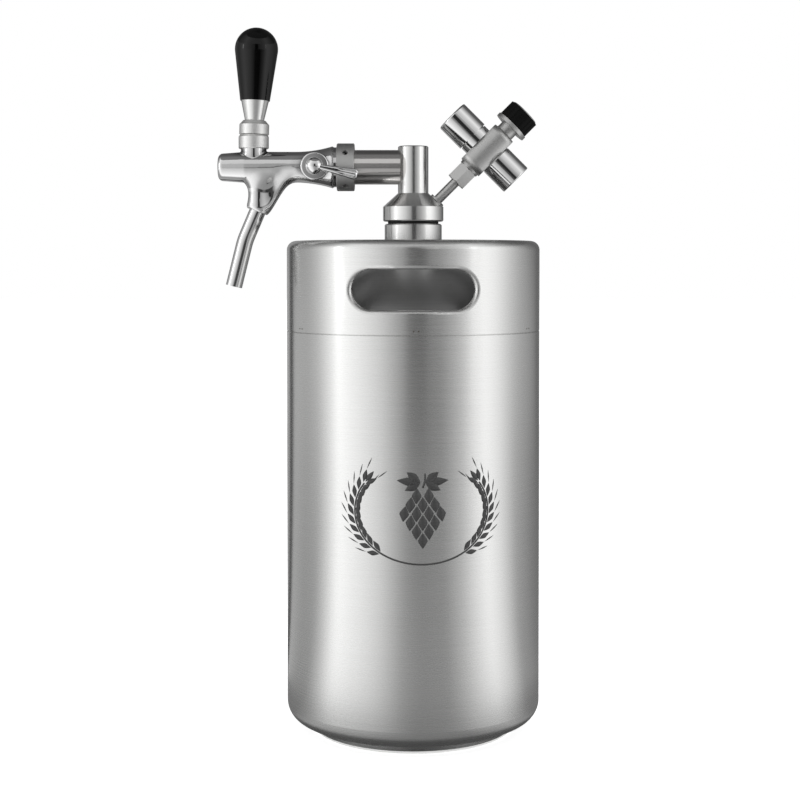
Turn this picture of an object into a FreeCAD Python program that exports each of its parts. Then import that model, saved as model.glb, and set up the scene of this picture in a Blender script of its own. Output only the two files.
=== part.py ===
import FreeCAD, Part
import math
import os
import Sketcher
from FreeCAD import Placement, Rotation, Vector

# Mini keg beer dispenser: a double-walled five litre keg, and the dispensing head that screws
# into its neck and carries a beer tap, a flow control and a small carbon dioxide regulator.
#
# World frame, millimetres: origin on the keg's axis at the table, +Z up, the tap towards -X,
# the regulator towards +X, the keg's front towards -Y.

SIZES = {
    # keg, heights from the table
    "keg_diameter": 170.0,
    "keg_height": 328.0,
    "jacket_wall": 1.0,
    "jacket_corner": 12.0,
    "jacket_gap": 4.0,
    "seam_groove": 0.4,
    "foot_inset": 17.5,
    "foot_height": 7.0,
    "foot_wall": 1.0,
    "foot_lap": 3.0,
    "foot_tread": 2.0,
    "foot_slope": 5.0,
    "base_plate_rise": 5.0,
    "vessel_wall": 1.0,
    "vessel_floor_height": 15.0,
    "vessel_corner": 16.0,
    "dome_seat": 27.35,
    "dome_knuckle": 16.0,
    "knuckle_drop": 4.0,
    "dome_skirt": 12.0,
    "neck_diameter": 38.5,
    "neck_bore": 32.0,
    "neck_length": 33.5,
    "neck_rise": 11.5,
    "neck_chamfer": 0.8,
    # handle ring
    "ring_height": 60.0,
    "ring_wall": 1.2,
    "ring_roll": 6.0,
    "ring_flange": 6.0,
    "ring_hem": 3.0,
    "slot_length": 77.0,
    "slot_width": 25.5,
    "slot_drop": 31.5,
    "slot_bead": 3.2,
    "slot_bead_depth": 5.0,
    "slot_round": 2.6,
    # dispensing head
    "thread_clearance": 0.05,
    "gasket_thickness": 1.7,
    "gasket_diameter": 34.0,
    "spigot_length": 21.5,
    "collar_diameter": 40.7,
    "collar_length": 10.5,
    "collar_chamfer": 0.7,
    "cone_height": 8.4,
    "cone_top_gap": 0.15,
    "stem_diameter": 20.5,
    "stem_length": 31.7,
    "stem_bore": 8.0,
    "stem_cap": 7.0,
    "stem_chamfer": 0.6,
    "gas_chamber_diameter": 18.0,
    "gas_chamber_height": 10.3,
    "dip_tube_diameter": 9.5,
    "dip_tube_wall": 0.7,
    "dip_tube_floor_gap": 6.0,
    "dip_tube_seat": 7.0,
    "dip_seal_section": 2.2,
    # shank and coupling, lengths measured from the stem's axis towards the tap
    "tap_axis_rise": 17.6,
    "shank_diameter": 23.2,
    "shank_bore": 8.0,
    "shank_seat": 8.6,
    "shank_length": 34.0,
    "shank_flange_diameter": 26.4,
    "shank_flange": 1.8,
    "washer_thickness": 1.5,
    "nut_diameter": 32.1,
    "nut_length": 11.7,
    "nut_lip": 3.0,
    "nut_clearance": 0.05,
    "nut_chamfer": 0.5,
    "nut_hole": 3.9,
    "nut_hole_count": 4,
    "nut_hole_turn": 34.5,
    # tap
    "tail_thread_diameter": 26.8,
    "tail_end": 54.0,
    "flare_diameter": 28.4,
    "flare_length": 25.0,
    "barrel_diameter": 20.8,
    "barrel_taper_start": 113.0,
    "barrel_end": 131.2,
    "barrel_end_diameter": 18.6,
    "barrel_end_round": 3.2,
    "tail_bore": 15.0,
    "seat_place": 91.0,
    "seat_length": 3.0,
    "seat_bore": 9.2,
    "chamber_bore": 13.0,
    "guide_place": 116.0,
    "guide_end": 127.0,
    "handle_place": 107.4,
    "boss_diameter": 17.2,
    "boss_height": 16.4,
    "boss_hole": 13.0,
    "nozzle_bore": 8.6,
    "nozzle_root_lag": 3.8,
    "nozzle_root_drop": 2.0,
    "nozzle_root_length": 31.0,
    "nozzle_root_width": 19.6,
    "nozzle_flare_lag": 2.7,
    "nozzle_flare_drop": 9.0,
    "nozzle_flare_length": 25.0,
    "nozzle_flare_width": 16.6,
    "nozzle_waist_lag": 1.7,
    "nozzle_waist_drop": 12.0,
    "nozzle_waist_length": 18.4,
    "nozzle_waist_width": 15.0,
    "nozzle_throat_lag": 1.1,
    "nozzle_throat_drop": 16.4,
    "nozzle_throat_diameter": 14.2,
    "nozzle_end_diameter": 13.6,
    "nozzle_tilt": 23.0,
    "nozzle_sleeve": 9.0,
    "rib_root_lag": 31.8,
    "rib_root_drop": 0.9,
    "rib_root_diameter": 18.4,
    "rib_bend_lag": 19.6,
    "rib_bend_drop": 3.9,
    "rib_bend_length": 16.0,
    "rib_bend_width": 18.8,
    "rib_bend_tilt": 65.0,
    "rib_waist_lag": 14.0,
    "rib_waist_drop": 13.2,
    "rib_waist_length": 10.0,
    "rib_waist_width": 13.2,
    "rib_waist_tilt": 36.0,
    "rib_end_lag": 4.3,
    "rib_end_drop": 30.7,
    "rib_end_length": 7.8,
    "rib_end_width": 8.8,
    "rib_end_tilt": 32.0,
    # spout
    "spout_diameter": 11.1,
    "spout_wall": 0.8,
    "spout_place": 105.3,
    "spout_drop": 30.4,
    "spout_insert": 6.5,
    "spout_upper": 20.5,
    "spout_lower": 31.8,
    "spout_bend": 45.0,
    "spout_turn": 9.0,
    "spout_clearance": 0.05,
    "spout_seal_section": 1.6,
    # lever and its bonnet; heights measured from the ball's centre
    "ball_height": 14.4,
    "ball_diameter": 15.0,
    "ball_clearance": 0.05,
    "lever_lean": 1.8,
    "lever_stud": 7.0,
    "tongue_diameter": 4.0,
    "tongue_reach": 14.6,
    "bonnet_diameter": 20.3,
    "bonnet_bottom": -2.0,
    "bonnet_dome": 11.8,
    "bonnet_mouth": 17.0,
    "ball_washer_thickness": 2.0,
    "dome_clearance": 0.35,
    "lever_collar_diameter": 20.0,
    "lever_collar_bottom": 7.7,
    "lever_collar_shoulder": 14.2,
    "lever_collar_top": 17.0,
    "lever_collar_top_diameter": 15.0,
    "ferrule_bottom_diameter": 12.8,
    "ferrule_top_diameter": 18.6,
    "ferrule_top": 30.2,
    "handle_diameter": 29.0,
    "handle_taper": 7.7,
    "handle_centre": 64.8,
    "handle_stud_depth": 16.0,
    # valve
    "valve_diameter": 7.0,
    "valve_front": 124.0,
    "valve_neck_diameter": 5.0,
    "valve_neck_end": 101.0,
    "valve_pocket_length": 6.4,
    "valve_pocket_width": 4.8,
    "valve_flange_diameter": 10.0,
    "valve_flange": 1.0,
    "valve_seal_diameter": 12.4,
    "valve_seal": 2.4,
    # flow control
    "flow_place": 65.5,
    "flow_boss_diameter": 16.4,
    "flow_boss_reach": 13.5,
    "gland_diameter": 18.9,
    "gland_thickness": 3.2,
    "gland_round": 1.2,
    "flow_shaft": 6.8,
    "flow_shaft_end": 7.6,
    "flow_clearance": 0.05,
    "flow_head_diameter": 11.5,
    "flow_head_place": 20.2,
    "flow_pin": 2.5,
    "flow_pin_end": 4.2,
    "flow_throw": 2.0,
    "flow_groove": 3.7,
    "flow_arm_length": 29.0,
    "flow_arm_root": 3.0,
    "flow_arm_tip": 7.2,
    "flow_arm_thickness": 2.6,
    "flow_arm_round": 1.5,
    "flow_arm_drop": 12.0,
    "compensator_diameter": 14.4,
    "compensator_core": 6.8,
    "compensator_start": 58.5,
    "compensator_land": 71.0,
    "compensator_end": 75.5,
    "compensator_tip": 6.0,
    # regulator, lengths along its own tilted axis
    "regulator_root_drop": 20.8,
    "regulator_tilt": 45.0,
    "gas_tube_diameter": 6.5,
    "gas_tube_bore": 3.0,
    "gas_hole_start": 4.5,
    "gas_tube_start": 17.0,
    "gas_flange_diameter": 10.5,
    "gas_flange_start": 22.0,
    "gas_flange": 1.5,
    "hex_flats": 13.0,
    "hex_start": 40.3,
    "hex_length": 12.3,
    "hex_bevel": 30.0,
    "regulator_shoulder": 14.4,
    "regulator_shoulder_length": 1.6,
    "regulator_diameter": 24.0,
    "regulator_flats": 16.5,
    "regulator_length": 32.3,
    "regulator_round": 4.2,
    "regulator_lip": 1.8,
    "spring_chamber": 12.0,
    "spring_chamber_start": 62.0,
    "spring_wire": 1.3,
    "spring_turns": 4.5,
    "piston_thickness": 4.0,
    "carriage_thickness": 3.0,
    "carriage_gap": 2.1,
    "knob_screw": 5.0,
    "knob_screw_length": 11.5,
    "knob_hub_diameter": 12.8,
    "knob_hub": 5.1,
    "knob_flange_diameter": 24.0,
    "knob_flange": 2.5,
    "knob_grip_diameter": 22.6,
    "knob_grip": 11.2,
    "knob_core_diameter": 18.4,
    "knob_rim": 0.8,
    "knob_rim_diameter": 21.4,
    "knob_flute": 1.3,
    "knob_flute_count": 20,
    "knob_gap": 0.3,
    # gauge and cartridge socket, both across the regulator's body
    "port_place": 70.0,
    "port_bore": 3.0,
    "gauge_neck_diameter": 21.7,
    "gauge_neck": 4.6,
    "gauge_groove": 0.8,
    "gauge_groove_diameter": 20.0,
    "gauge_thread_diameter": 9.0,
    "gauge_thread": 2.0,
    "gauge_diameter": 23.0,
    "gauge_length": 19.6,
    "gauge_wall": 1.0,
    "gauge_round": 1.2,
    "dial_depth": 4.6,
    "dial_thickness": 0.6,
    "needle_length": 7.4,
    "needle_tail": 2.6,
    "needle_width": 0.9,
    "needle_thickness": 0.5,
    "needle_gap": 0.5,
    "needle_arbor": 1.2,
    "needle_hub": 2.6,
    "arbor_clearance": 0.05,
    "lens_thickness": 1.2,
    "lens_rise": 0.6,
    "lens_ledge": 0.8,
    "socket_diameter": 22.6,
    "socket_length": 19.6,
    "socket_round": 0.8,
    "socket_thread": 9.525,
    "socket_thread_depth": 13.0,
    "socket_relief": 2.8,
    "socket_relief_diameter": 10.2,
    "socket_rim_diameter": 19.0,
    "socket_rim_depth": 1.2,
    "pin_diameter": 2.2,
    "pin_rise": 2.6,
    "pin_bore": 0.8,
    "cartridge_seal_diameter": 8.6,
    "cartridge_seal": 1.6,
    # pressure relief valve on the back of the cone
    "relief_turn": 110.0,
    "relief_start": 19.0,
    "relief_diameter": 8.0,
    "relief_length": 9.0,
    "relief_hex": 3.0,
    "relief_bore": 3.2,
    "relief_cap": 1.6,
    "relief_pin": 1.6,
    "relief_foot": 1.5,
    "relief_pull_diameter": 5.4,
    "relief_pull": 2.4,
    "relief_pull_gap": 0.3,
}


class Dim:
    """A number together with the sheet expression that gives it."""

    def __init__(self, value, text):
        self.value = value
        self.text = text

    def joined(self, other, sign, value):
        return Dim(value, f"({self.text} {sign} {other.text})")

    def __add__(self, other):
        other = dim(other)
        return self.joined(other, "+", self.value + other.value)

    def __sub__(self, other):
        other = dim(other)
        return self.joined(other, "-", self.value - other.value)

    def __mul__(self, other):
        other = dim(other)
        return self.joined(other, "*", self.value * other.value)

    def __truediv__(self, other):
        other = dim(other)
        return self.joined(other, "/", self.value / other.value)

    def __radd__(self, other):
        return dim(other) + self

    def __rsub__(self, other):
        return dim(other) - self

    def __rmul__(self, other):
        return dim(other) * self

    def __neg__(self):
        return dim(0) - self


def dim(number):
    """A plain number as a Dim."""
    if isinstance(number, Dim):
        return number
    return Dim(float(number), str(number) if number >= 0 else f"({number})")


def root(square):
    return Dim(math.sqrt(square.value), f"sqrt({square.text})")


def cosine(angle):
    return Dim(math.cos(math.radians(angle.value)), f"cos({angle.text})")


def sine(angle):
    return Dim(math.sin(math.radians(angle.value)), f"sin({angle.text})")


def tangent(angle):
    return Dim(math.tan(math.radians(angle.value)), f"tan({angle.text})")


class Sheet:
    """The spreadsheet of driving dimensions; each one is read as a Dim attribute."""

    def __init__(self, document, sizes):
        self.cells = document.addObject("Spreadsheet::Sheet", "Sizes")
        self.values = sizes
        for row, (alias, value) in enumerate(sizes.items(), start=1):
            self.cells.set(f"A{row}", alias)
            self.cells.set(f"B{row}", str(value))
            self.cells.setAlias(f"B{row}", alias)

    def __getattr__(self, alias):
        return Dim(self.values[alias], f"Sizes.{alias}")


doc = FreeCAD.newDocument("MiniKegDispenser")
S = Sheet(doc, SIZES)
doc.recompute()

NODES = []

X_AXIS = Vector(1, 0, 0)
Y_AXIS = Vector(0, 1, 0)
Z_AXIS = Vector(0, 0, 1)
HEX_SIDES = 6
SIDE_TURN = 360 / HEX_SIDES


def bind(item, path, size):
    item.setExpression(path, dim(size).text)


# ---------------------------------------------------------------- places that pieces share

keg_radius = S.keg_diameter / 2
skirt_radius = keg_radius - S.jacket_wall
neck_radius = S.neck_diameter / 2
foot_radius = keg_radius - S.foot_inset

seam_height = S.keg_height - S.ring_height
slot_height = S.keg_height - S.slot_drop
neck_height = S.keg_height + S.neck_rise

# the crown's sphere runs smoothly into the knuckle and meets the neck at the dome's seat
knuckle = S.dome_knuckle
knuckle_place = skirt_radius - knuckle
knuckle_height = seam_height - S.knuckle_drop
seat_rise = neck_height - S.dome_seat - knuckle_height
rise_excess = seat_rise * seat_rise - knuckle * knuckle
balance = (rise_excess + neck_radius * neck_radius - knuckle_place * knuckle_place) / 2
balance_root = root(balance * balance + rise_excess * knuckle_place * knuckle_place)
knuckle_rise = (knuckle * balance_root - balance * seat_rise) / rise_excess
crown_reach = root(knuckle_place * knuckle_place + knuckle_rise * knuckle_rise)
crown_centre = knuckle_height - knuckle_rise

collar_bottom = neck_height + S.gasket_thickness
collar_top = collar_bottom + S.collar_length
cone_top = collar_top + S.cone_height
tap_axis_height = cone_top + S.tap_axis_rise
regulator_root = cone_top - S.regulator_root_drop


# ---------------------------------------------------------------- bodies, sketches, features


def new_body(name):
    body = doc.addObject("PartDesign::Body", name)
    body.Label = name
    NODES.append(body)
    return body


def new_sketch(body, name, plane, lift=0):
    """An empty sketch on one of the body's origin planes, lifted along that plane's normal."""
    sketch = body.newObject("Sketcher::SketchObject", name)
    support = next(face for face in body.Origin.OriginFeatures if face.Role == plane)
    sketch.AttachmentSupport = [(support, "")]
    sketch.MapMode = "FlatFace"
    lift = dim(lift)
    sketch.AttachmentOffset = Placement(Vector(0, 0, lift.value), Rotation())
    bind(sketch, "AttachmentOffset.Base.z", lift)
    return sketch


def hold(sketch, rule, size, name):
    """Add a dimension to the sketch and bind it to its size."""
    index = sketch.addConstraint(rule)
    sketch.renameConstraint(index, name)
    bind(sketch, f"Constraints.{name}", size)


def hold_point(sketch, edge, end, x, y, name):
    """Fix one point of the sketch at the sizes x and y from its origin."""
    for size, kind, axis in ((x, "DistanceX", -2), (y, "DistanceY", -1)):
        if abs(size.value) < 1e-9:
            sketch.addConstraint(Sketcher.Constraint("PointOnObject", edge, end, axis))
        else:
            rule = Sketcher.Constraint(kind, -1, 1, edge, end, size.value)
            hold(sketch, rule, size, f"{name}_{kind[-1]}")


def arc_between(start, end, radius):
    """Arc of under half a turn from start to end; it turns left where the radius is positive."""
    chord = end - start
    bow = math.sqrt(radius * radius - chord.Length * chord.Length / 4)
    left = Vector(-chord.y, chord.x, 0).normalize()
    centre = (start + end) / 2 + left * math.copysign(bow, radius)
    first, last = (start, end) if radius > 0 else (end, start)
    angles = [math.atan2(point.y - centre.y, point.x - centre.x) for point in (first, last)]
    if angles[1] < angles[0]:
        angles[1] += 2 * math.pi
    return Part.ArcOfCircle(Part.Circle(centre, Z_AXIS, abs(radius)), *angles)


def outline(sketch, corners, closed=True):
    """Chain of edges through the corners (x, y) or, where an arc arrives there, (x, y, radius)."""
    corners = [tuple(dim(size) for size in corner) for corner in corners]
    points = [Vector(corner[0].value, corner[1].value, 0) for corner in corners]
    count = len(corners)
    first_edge = sketch.GeometryCount
    ends = []
    for index in range(1, count + 1 if closed else count):
        start, end = points[index - 1], points[index % count]
        corner = corners[index % count]
        if len(corner) == 3:
            sketch.addGeometry(arc_between(start, end, corner[2].value), False)
            ends.append((1, 2) if corner[2].value > 0 else (2, 1))
        else:
            sketch.addGeometry(Part.LineSegment(start, end), False)
            ends.append((1, 2))
    for index, (edge_start, edge_end) in enumerate(ends):
        edge = first_edge + index
        hold_point(sketch, edge, edge_start, *corners[index][:2], f"edge{edge}")
        follower = (index + 1) % len(ends)
        if closed or index + 1 < len(ends):
            rule = Sketcher.Constraint(
                "Coincident", edge, edge_end, first_edge + follower, ends[follower][0]
            )
            sketch.addConstraint(rule)
        else:
            hold_point(sketch, edge, edge_end, *corners[-1][:2], f"edge{edge}_end")
        corner = corners[(index + 1) % count]
        if len(corner) == 3:
            radius = corner[2] if corner[2].value > 0 else -corner[2]
            rule = Sketcher.Constraint("Radius", edge, radius.value)
            hold(sketch, rule, radius, f"edge{edge}_radius")


def circle(sketch, x, y, radius):
    x, y, radius = dim(x), dim(y), dim(radius)
    shape = Part.Circle(Vector(x.value, y.value, 0), Z_AXIS, radius.value)
    edge = sketch.addGeometry(shape, False)
    hold_point(sketch, edge, 3, x, y, f"circle{edge}")
    rule = Sketcher.Constraint("Radius", edge, radius.value)
    hold(sketch, rule, radius, f"circle{edge}_radius")


def turned(body, name, corners, cut=False):
    """Revolve an outline of (radius, height) corners about the body's Z axis, or cut with it."""
    sketch = new_sketch(body, name + "Profile", "XZ_Plane")
    outline(sketch, corners)
    kind = "PartDesign::Groove" if cut else "PartDesign::Revolution"
    feature = body.newObject(kind, name)
    feature.Profile = sketch
    feature.ReferenceAxis = (sketch, ["V_Axis"])
    feature.Angle = 360
    doc.recompute()
    return feature


def pressed(body, name, sketch, length, cut=False, both=False, back=False):
    """Pad or pocket a sketch along its normal, both ways, or backwards."""
    kind = "PartDesign::Pocket" if cut else "PartDesign::Pad"
    feature = body.newObject(kind, name)
    feature.Profile = sketch
    if both:
        feature.SideType = "Symmetric"
    feature.Reversed = back
    bind(feature, "Length", length)
    doc.recompute()
    return feature


def drilled(body, name, radius, depth, base=(0, 0, 0), axis=Y_AXIS, angle=0):
    """Cut a cylinder that starts at base and runs along Z turned about the axis by the angle."""
    cutter = body.newObject("PartDesign::SubtractiveCylinder", name)
    support = next(face for face in body.Origin.OriginFeatures if face.Role == "XY_Plane")
    cutter.AttachmentSupport = [(support, "")]
    cutter.MapMode = "FlatFace"
    base = [dim(size) for size in base]
    angle = dim(angle)
    start = Vector(*(size.value for size in base))
    cutter.AttachmentOffset = Placement(start, Rotation(axis, angle.value))
    for letter, size in zip("xyz", base):
        bind(cutter, f"AttachmentOffset.Base.{letter}", size)
    if angle.value:
        bind(cutter, "AttachmentOffset.Rotation.Angle", angle)
    bind(cutter, "Radius", radius)
    bind(cutter, "Height", depth)
    doc.recompute()
    return cutter


def softened(body, name, edges, size, chamfer=False):
    """Round or chamfer named edges of the body's last feature."""
    kind = "PartDesign::Chamfer" if chamfer else "PartDesign::Fillet"
    base = body.Tip
    feature = body.newObject(kind, name)
    feature.Base = (base, edges)
    bind(feature, "Size" if chamfer else "Radius", size)
    body.Tip = feature
    doc.recompute()
    return feature


def placed(item, x=0, y=0, z=0, axis=Y_AXIS, angle=0):
    """Move a finished sub-part to its place and turn it about one axis."""
    sizes = [dim(size) for size in (x, y, z)]
    angle = dim(angle)
    base = Vector(*(size.value for size in sizes))
    item.Placement = Placement(base, Rotation(axis, angle.value))
    for letter, size in zip("xyz", sizes):
        bind(item, f"Placement.Base.{letter}", size)
    if angle.value:
        bind(item, "Placement.Rotation.Angle", angle)


def on_tap_axis(item):
    """Local Z runs from the stem's axis along the tap, local X is up."""
    placed(item, z=tap_axis_height, axis=Y_AXIS, angle=dim(-90))


def on_ball(item, lean=0):
    """Local origin at the centre of the lever's ball, local Z along the lever."""
    placed(item, -S.handle_place, 0, tap_axis_height + S.ball_height, Y_AXIS, lean)


def on_regulator(item, along=dim(0), turn=dim(0)):
    """Local Z runs along the regulator from the head's axis, from a place along it, or is turned."""
    x = along * sine(S.regulator_tilt)
    z = regulator_root + along * cosine(S.regulator_tilt)
    placed(item, x, 0, z, Y_AXIS, S.regulator_tilt + turn)


def on_port(item, turn):
    """Local Z leaves the regulator's body sideways from the middle of its ports."""
    on_regulator(item, S.port_place, turn)


# ---------------------------------------------------------------- keg

def dome_arcs(depth):
    """Junction, rim and neck corners of the shoulder dome's surface, at a depth inside it."""
    crown = crown_reach + knuckle - depth
    top = crown_centre + root(crown * crown - neck_radius * neck_radius)
    share = crown / crown_reach
    junction = (knuckle_place * share, crown_centre + knuckle_rise * share)
    rim = (skirt_radius - depth, knuckle_height)
    neck = (neck_radius, top)
    return neck, junction, rim, crown, knuckle - depth


def make_base_cap():
    """Pressed base plate with the ring that the keg stands on."""
    body = new_body("base_cap")
    wall = S.foot_wall
    top = S.foot_height + S.foot_lap
    tread_inner = foot_radius - wall - S.foot_tread
    plate_edge = tread_inner - S.foot_slope
    plate = S.base_plate_rise
    turned(body, "Pressing", [
        (0, plate), (plate_edge, plate), (tread_inner, 0), (foot_radius - wall, 0),
        (foot_radius, wall), (foot_radius, top), (foot_radius - wall, top),
        (foot_radius - wall, wall), (tread_inner, wall), (plate_edge, plate + wall),
        (0, plate + wall),
    ])


def make_outer_jacket():
    """Brushed outer wall, rounded in at the bottom to a flat that the base cap passes."""
    body = new_body("outer_jacket")
    wall = S.jacket_wall
    corner = S.jacket_corner
    bottom = S.foot_height
    groove = S.seam_groove
    turned(body, "Wall", [
        (foot_radius, bottom), (keg_radius - corner, bottom),
        (keg_radius, bottom + corner, corner), (keg_radius, seam_height - groove),
        (keg_radius - groove, seam_height),
        (keg_radius - wall, seam_height), (keg_radius - wall, bottom + corner),
        (keg_radius - corner, bottom + wall, wall - corner), (foot_radius, bottom + wall),
    ])


def make_inner_vessel():
    """Vessel that holds the beer, hung from the neck inside the jacket."""
    body = new_body("inner_vessel")
    wall = S.vessel_wall
    radius = skirt_radius - S.jacket_gap
    corner = S.vessel_corner
    floor = S.vessel_floor_height
    neck, junction, rim, crown, knuckle = dome_arcs(S.jacket_gap)
    neck_in, junction_in, rim_in, crown_in, knuckle_in = dome_arcs(S.jacket_gap + wall)
    turned(body, "Wall", [
        (0, floor), (radius - corner, floor), (radius, floor + corner, corner), rim,
        (*junction, knuckle), (*neck, crown), neck_in, (*junction_in, -crown_in),
        (*rim_in, -knuckle_in), (radius - wall, floor + corner),
        (radius - corner, floor + wall, wall - corner), (0, floor + wall),
    ])


def make_shoulder_dome():
    """Outer top of the keg, seen through the hand slots, welded into the jacket."""
    body = new_body("shoulder_dome")
    wall = S.jacket_wall
    neck, junction, rim, crown, knuckle = dome_arcs(0)
    neck_in, junction_in, rim_in, crown_in, knuckle_in = dome_arcs(wall)
    bottom = knuckle_height - S.dome_skirt
    turned(body, "Wall", [
        neck_in, (*junction_in, -crown_in), (*rim_in, -knuckle_in),
        (skirt_radius - wall, bottom), (skirt_radius, bottom), rim, (*junction, knuckle),
        (*neck, crown),
    ])


def make_neck_ring():
    """Thick threaded neck; the dispensing head screws into its bore."""
    body = new_body("neck_ring")
    bore = S.neck_bore / 2
    top = neck_height
    turned(body, "Ring", [
        (bore, top - S.neck_length), (neck_radius, top - S.neck_length),
        (neck_radius, top - S.neck_chamfer), (neck_radius - S.neck_chamfer, top), (bore, top),
    ])


def make_handle_ring():
    """Carrying ring above the seam: rolled top edge and two hand slots with beaded rims."""
    body = new_body("handle_ring")
    wall = S.ring_wall
    roll = S.ring_roll
    top = S.keg_height
    inner = keg_radius - wall
    flange = keg_radius - roll - S.ring_flange
    groove = S.seam_groove
    turned(body, "Ring", [
        (inner, seam_height), (keg_radius - groove, seam_height),
        (keg_radius, seam_height + groove), (keg_radius, top - roll),
        (keg_radius - roll, top, roll), (flange, top), (flange, top - S.ring_hem),
        (flange + wall, top - S.ring_hem), (flange + wall, top - wall),
        (keg_radius - roll, top - wall), (inner, top - roll, wall - roll),
    ])
    bead_inner = keg_radius - S.slot_bead_depth
    bead_reach = S.slot_length / 2 + S.slot_bead * 2
    bead_root = root(bead_inner * bead_inner - bead_reach * bead_reach)
    for side, back in (("Front", False), ("Rear", True)):
        lift = -bead_root if back else bead_root
        sketch = new_sketch(body, side + "BeadOutline", "XZ_Plane", lift)
        slot_outline(sketch, S.slot_length + S.slot_bead * 2, S.slot_width + S.slot_bead * 2)
        pressed(body, side + "Bead", sketch, keg_radius - bead_root, back=back)
    outside = keg_radius + S.slot_length / 2
    turned(body, "OutsideTrim", [
        (keg_radius, seam_height), (outside, seam_height),
        (outside, top - roll), (keg_radius, top - roll),
    ], cut=True)
    turned(body, "InsideTrim", [
        (0, seam_height), (bead_inner, seam_height),
        (bead_inner, top - roll - wall), (0, top - roll - wall),
    ], cut=True)
    sketch = new_sketch(body, "SlotOutline", "XZ_Plane")
    slot_outline(sketch, S.slot_length, S.slot_width)
    pressed(body, "Slots", sketch, S.keg_diameter + S.ring_wall * 2, cut=True, both=True)
    softened(body, "SlotRims", slot_edges(body), S.slot_round)


def slot_outline(sketch, length, width):
    """Level obround about the slot's centre, each end made of two quarter arcs."""
    end = width / 2
    half = length / 2 - end
    middle = slot_height
    outline(sketch, [
        (-half, middle - end, end), (half, middle - end), (half + end, middle, end),
        (half, middle + end, end), (-half, middle + end), (-half - end, middle, end),
    ])


def slot_edges(body):
    """Edges where the slots' walls meet the ring's outside face."""
    found = []
    bottom = slot_height.value - S.slot_width.value / 2 - 0.1
    top = slot_height.value + S.slot_width.value / 2 + 0.1
    for index, edge in enumerate(body.Tip.Shape.Edges, start=1):
        points = [vertex.Point for vertex in edge.Vertexes]
        on_outside = all(
            abs(math.hypot(point.x, point.y) - keg_radius.value) < 0.01 for point in points
        )
        if on_outside and all(bottom < point.z < top for point in points):
            found.append(f"Edge{index}")
    return found


# ---------------------------------------------------------------- dispensing head

stem_radius = S.stem_diameter / 2
dip_radius = S.dip_tube_diameter / 2
spigot_radius = S.neck_bore / 2 - S.thread_clearance
chamber_top = collar_bottom + S.gas_chamber_height
dip_top = chamber_top + S.dip_tube_seat
dip_seal_place = chamber_top + S.dip_tube_seat / 2


def make_head_body():
    """Screw-in head: spigot, sealing collar and cone, with a gas chamber round the dip tube."""
    body = new_body("head_body")
    spigot_bottom = neck_height - S.spigot_length
    collar = S.collar_diameter / 2
    chamber = S.gas_chamber_diameter / 2
    stem_bore = S.stem_bore / 2
    chamfer = S.collar_chamfer
    turned(body, "Turning", [
        (chamber, spigot_bottom), (spigot_radius, spigot_bottom), (spigot_radius, collar_bottom),
        (collar - chamfer, collar_bottom), (collar, collar_bottom + chamfer),
        (collar, collar_top - chamfer), (collar - chamfer, collar_top),
        (stem_radius + S.cone_top_gap, cone_top), (stem_bore, cone_top), (stem_bore, dip_top),
        (dip_radius, dip_top), (dip_radius, chamber_top), (chamber, chamber_top),
    ])
    half = S.dip_seal_section / 2
    groove = dip_radius + S.dip_seal_section
    turned(body, "SealGroove", [
        (0, dip_seal_place - half), (groove, dip_seal_place - half),
        (groove, dip_seal_place + half), (0, dip_seal_place + half),
    ], cut=True)
    tilt = S.regulator_tilt
    reach = S.collar_diameter
    for name, radius, start in (
        ("GasHole", S.gas_tube_bore / 2, S.gas_hole_start),
        ("GasSocket", S.gas_tube_diameter / 2, S.gas_tube_start),
        ("GasSpotFace", S.gas_flange_diameter / 2, S.gas_flange_start),
    ):
        base = (start * sine(tilt), 0, regulator_root + start * cosine(tilt))
        drilled(body, name, radius, reach, base, Y_AXIS, tilt)
    back = Rotation(Z_AXIS, S.relief_turn.value) * Rotation(Y_AXIS, tilt.value)
    for name, radius, start in (
        ("ReliefHole", S.relief_bore / 2, S.gas_hole_start),
        ("ReliefSocket", S.relief_diameter / 2 - S.relief_cap / 2, S.relief_start),
        ("ReliefSpotFace", S.relief_diameter / 2, S.relief_start + S.relief_hex),
    ):
        out = start * sine(tilt)
        base = (
            out * cosine(S.relief_turn), out * sine(S.relief_turn),
            regulator_root + start * cosine(tilt),
        )
        drilled(body, name, radius, reach, base, back.Axis, dim(math.degrees(back.Angle)))


def make_neck_gasket():
    """Flat black seal squeezed between the neck and the collar."""
    body = new_body("neck_gasket")
    outer = S.gasket_diameter / 2
    turned(body, "Ring", [
        (spigot_radius, neck_height), (outer, neck_height), (outer, collar_bottom),
        (spigot_radius, collar_bottom),
    ])


def make_stem():
    """Upright post that turns the beer's way towards the shank."""
    body = new_body("stem")
    bore = S.stem_bore / 2
    top = cone_top + S.stem_length
    chamfer = S.stem_chamfer
    bore_top = top - S.stem_cap
    turned(body, "Post", [
        (bore, cone_top), (stem_radius, cone_top), (stem_radius, top - chamfer),
        (stem_radius - chamfer, top), (0, top), (0, bore_top), (bore, bore_top),
    ])
    drilled(body, "SideHole", S.shank_bore / 2, S.stem_diameter,
            (0, 0, tap_axis_height), Y_AXIS, dim(-90))


def make_dip_tube():
    """Thin tube that draws the beer from just above the vessel's floor."""
    body = new_body("dip_tube")
    bottom = S.vessel_floor_height + S.vessel_wall + S.dip_tube_floor_gap
    bore = dip_radius - S.dip_tube_wall
    turned(body, "Tube", [
        (bore, bottom), (dip_radius, bottom), (dip_radius, dip_top), (bore, dip_top),
    ])


def make_dip_seal():
    """O-ring round the dip tube inside the head."""
    seal = doc.addObject("Part::Torus", "dip_seal")
    seal.Label = "dip_seal"
    bind(seal, "Radius1", dip_radius + S.dip_seal_section / 2)
    bind(seal, "Radius2", S.dip_seal_section / 2)
    placed(seal, z=dip_seal_place)
    NODES.append(seal)


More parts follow.
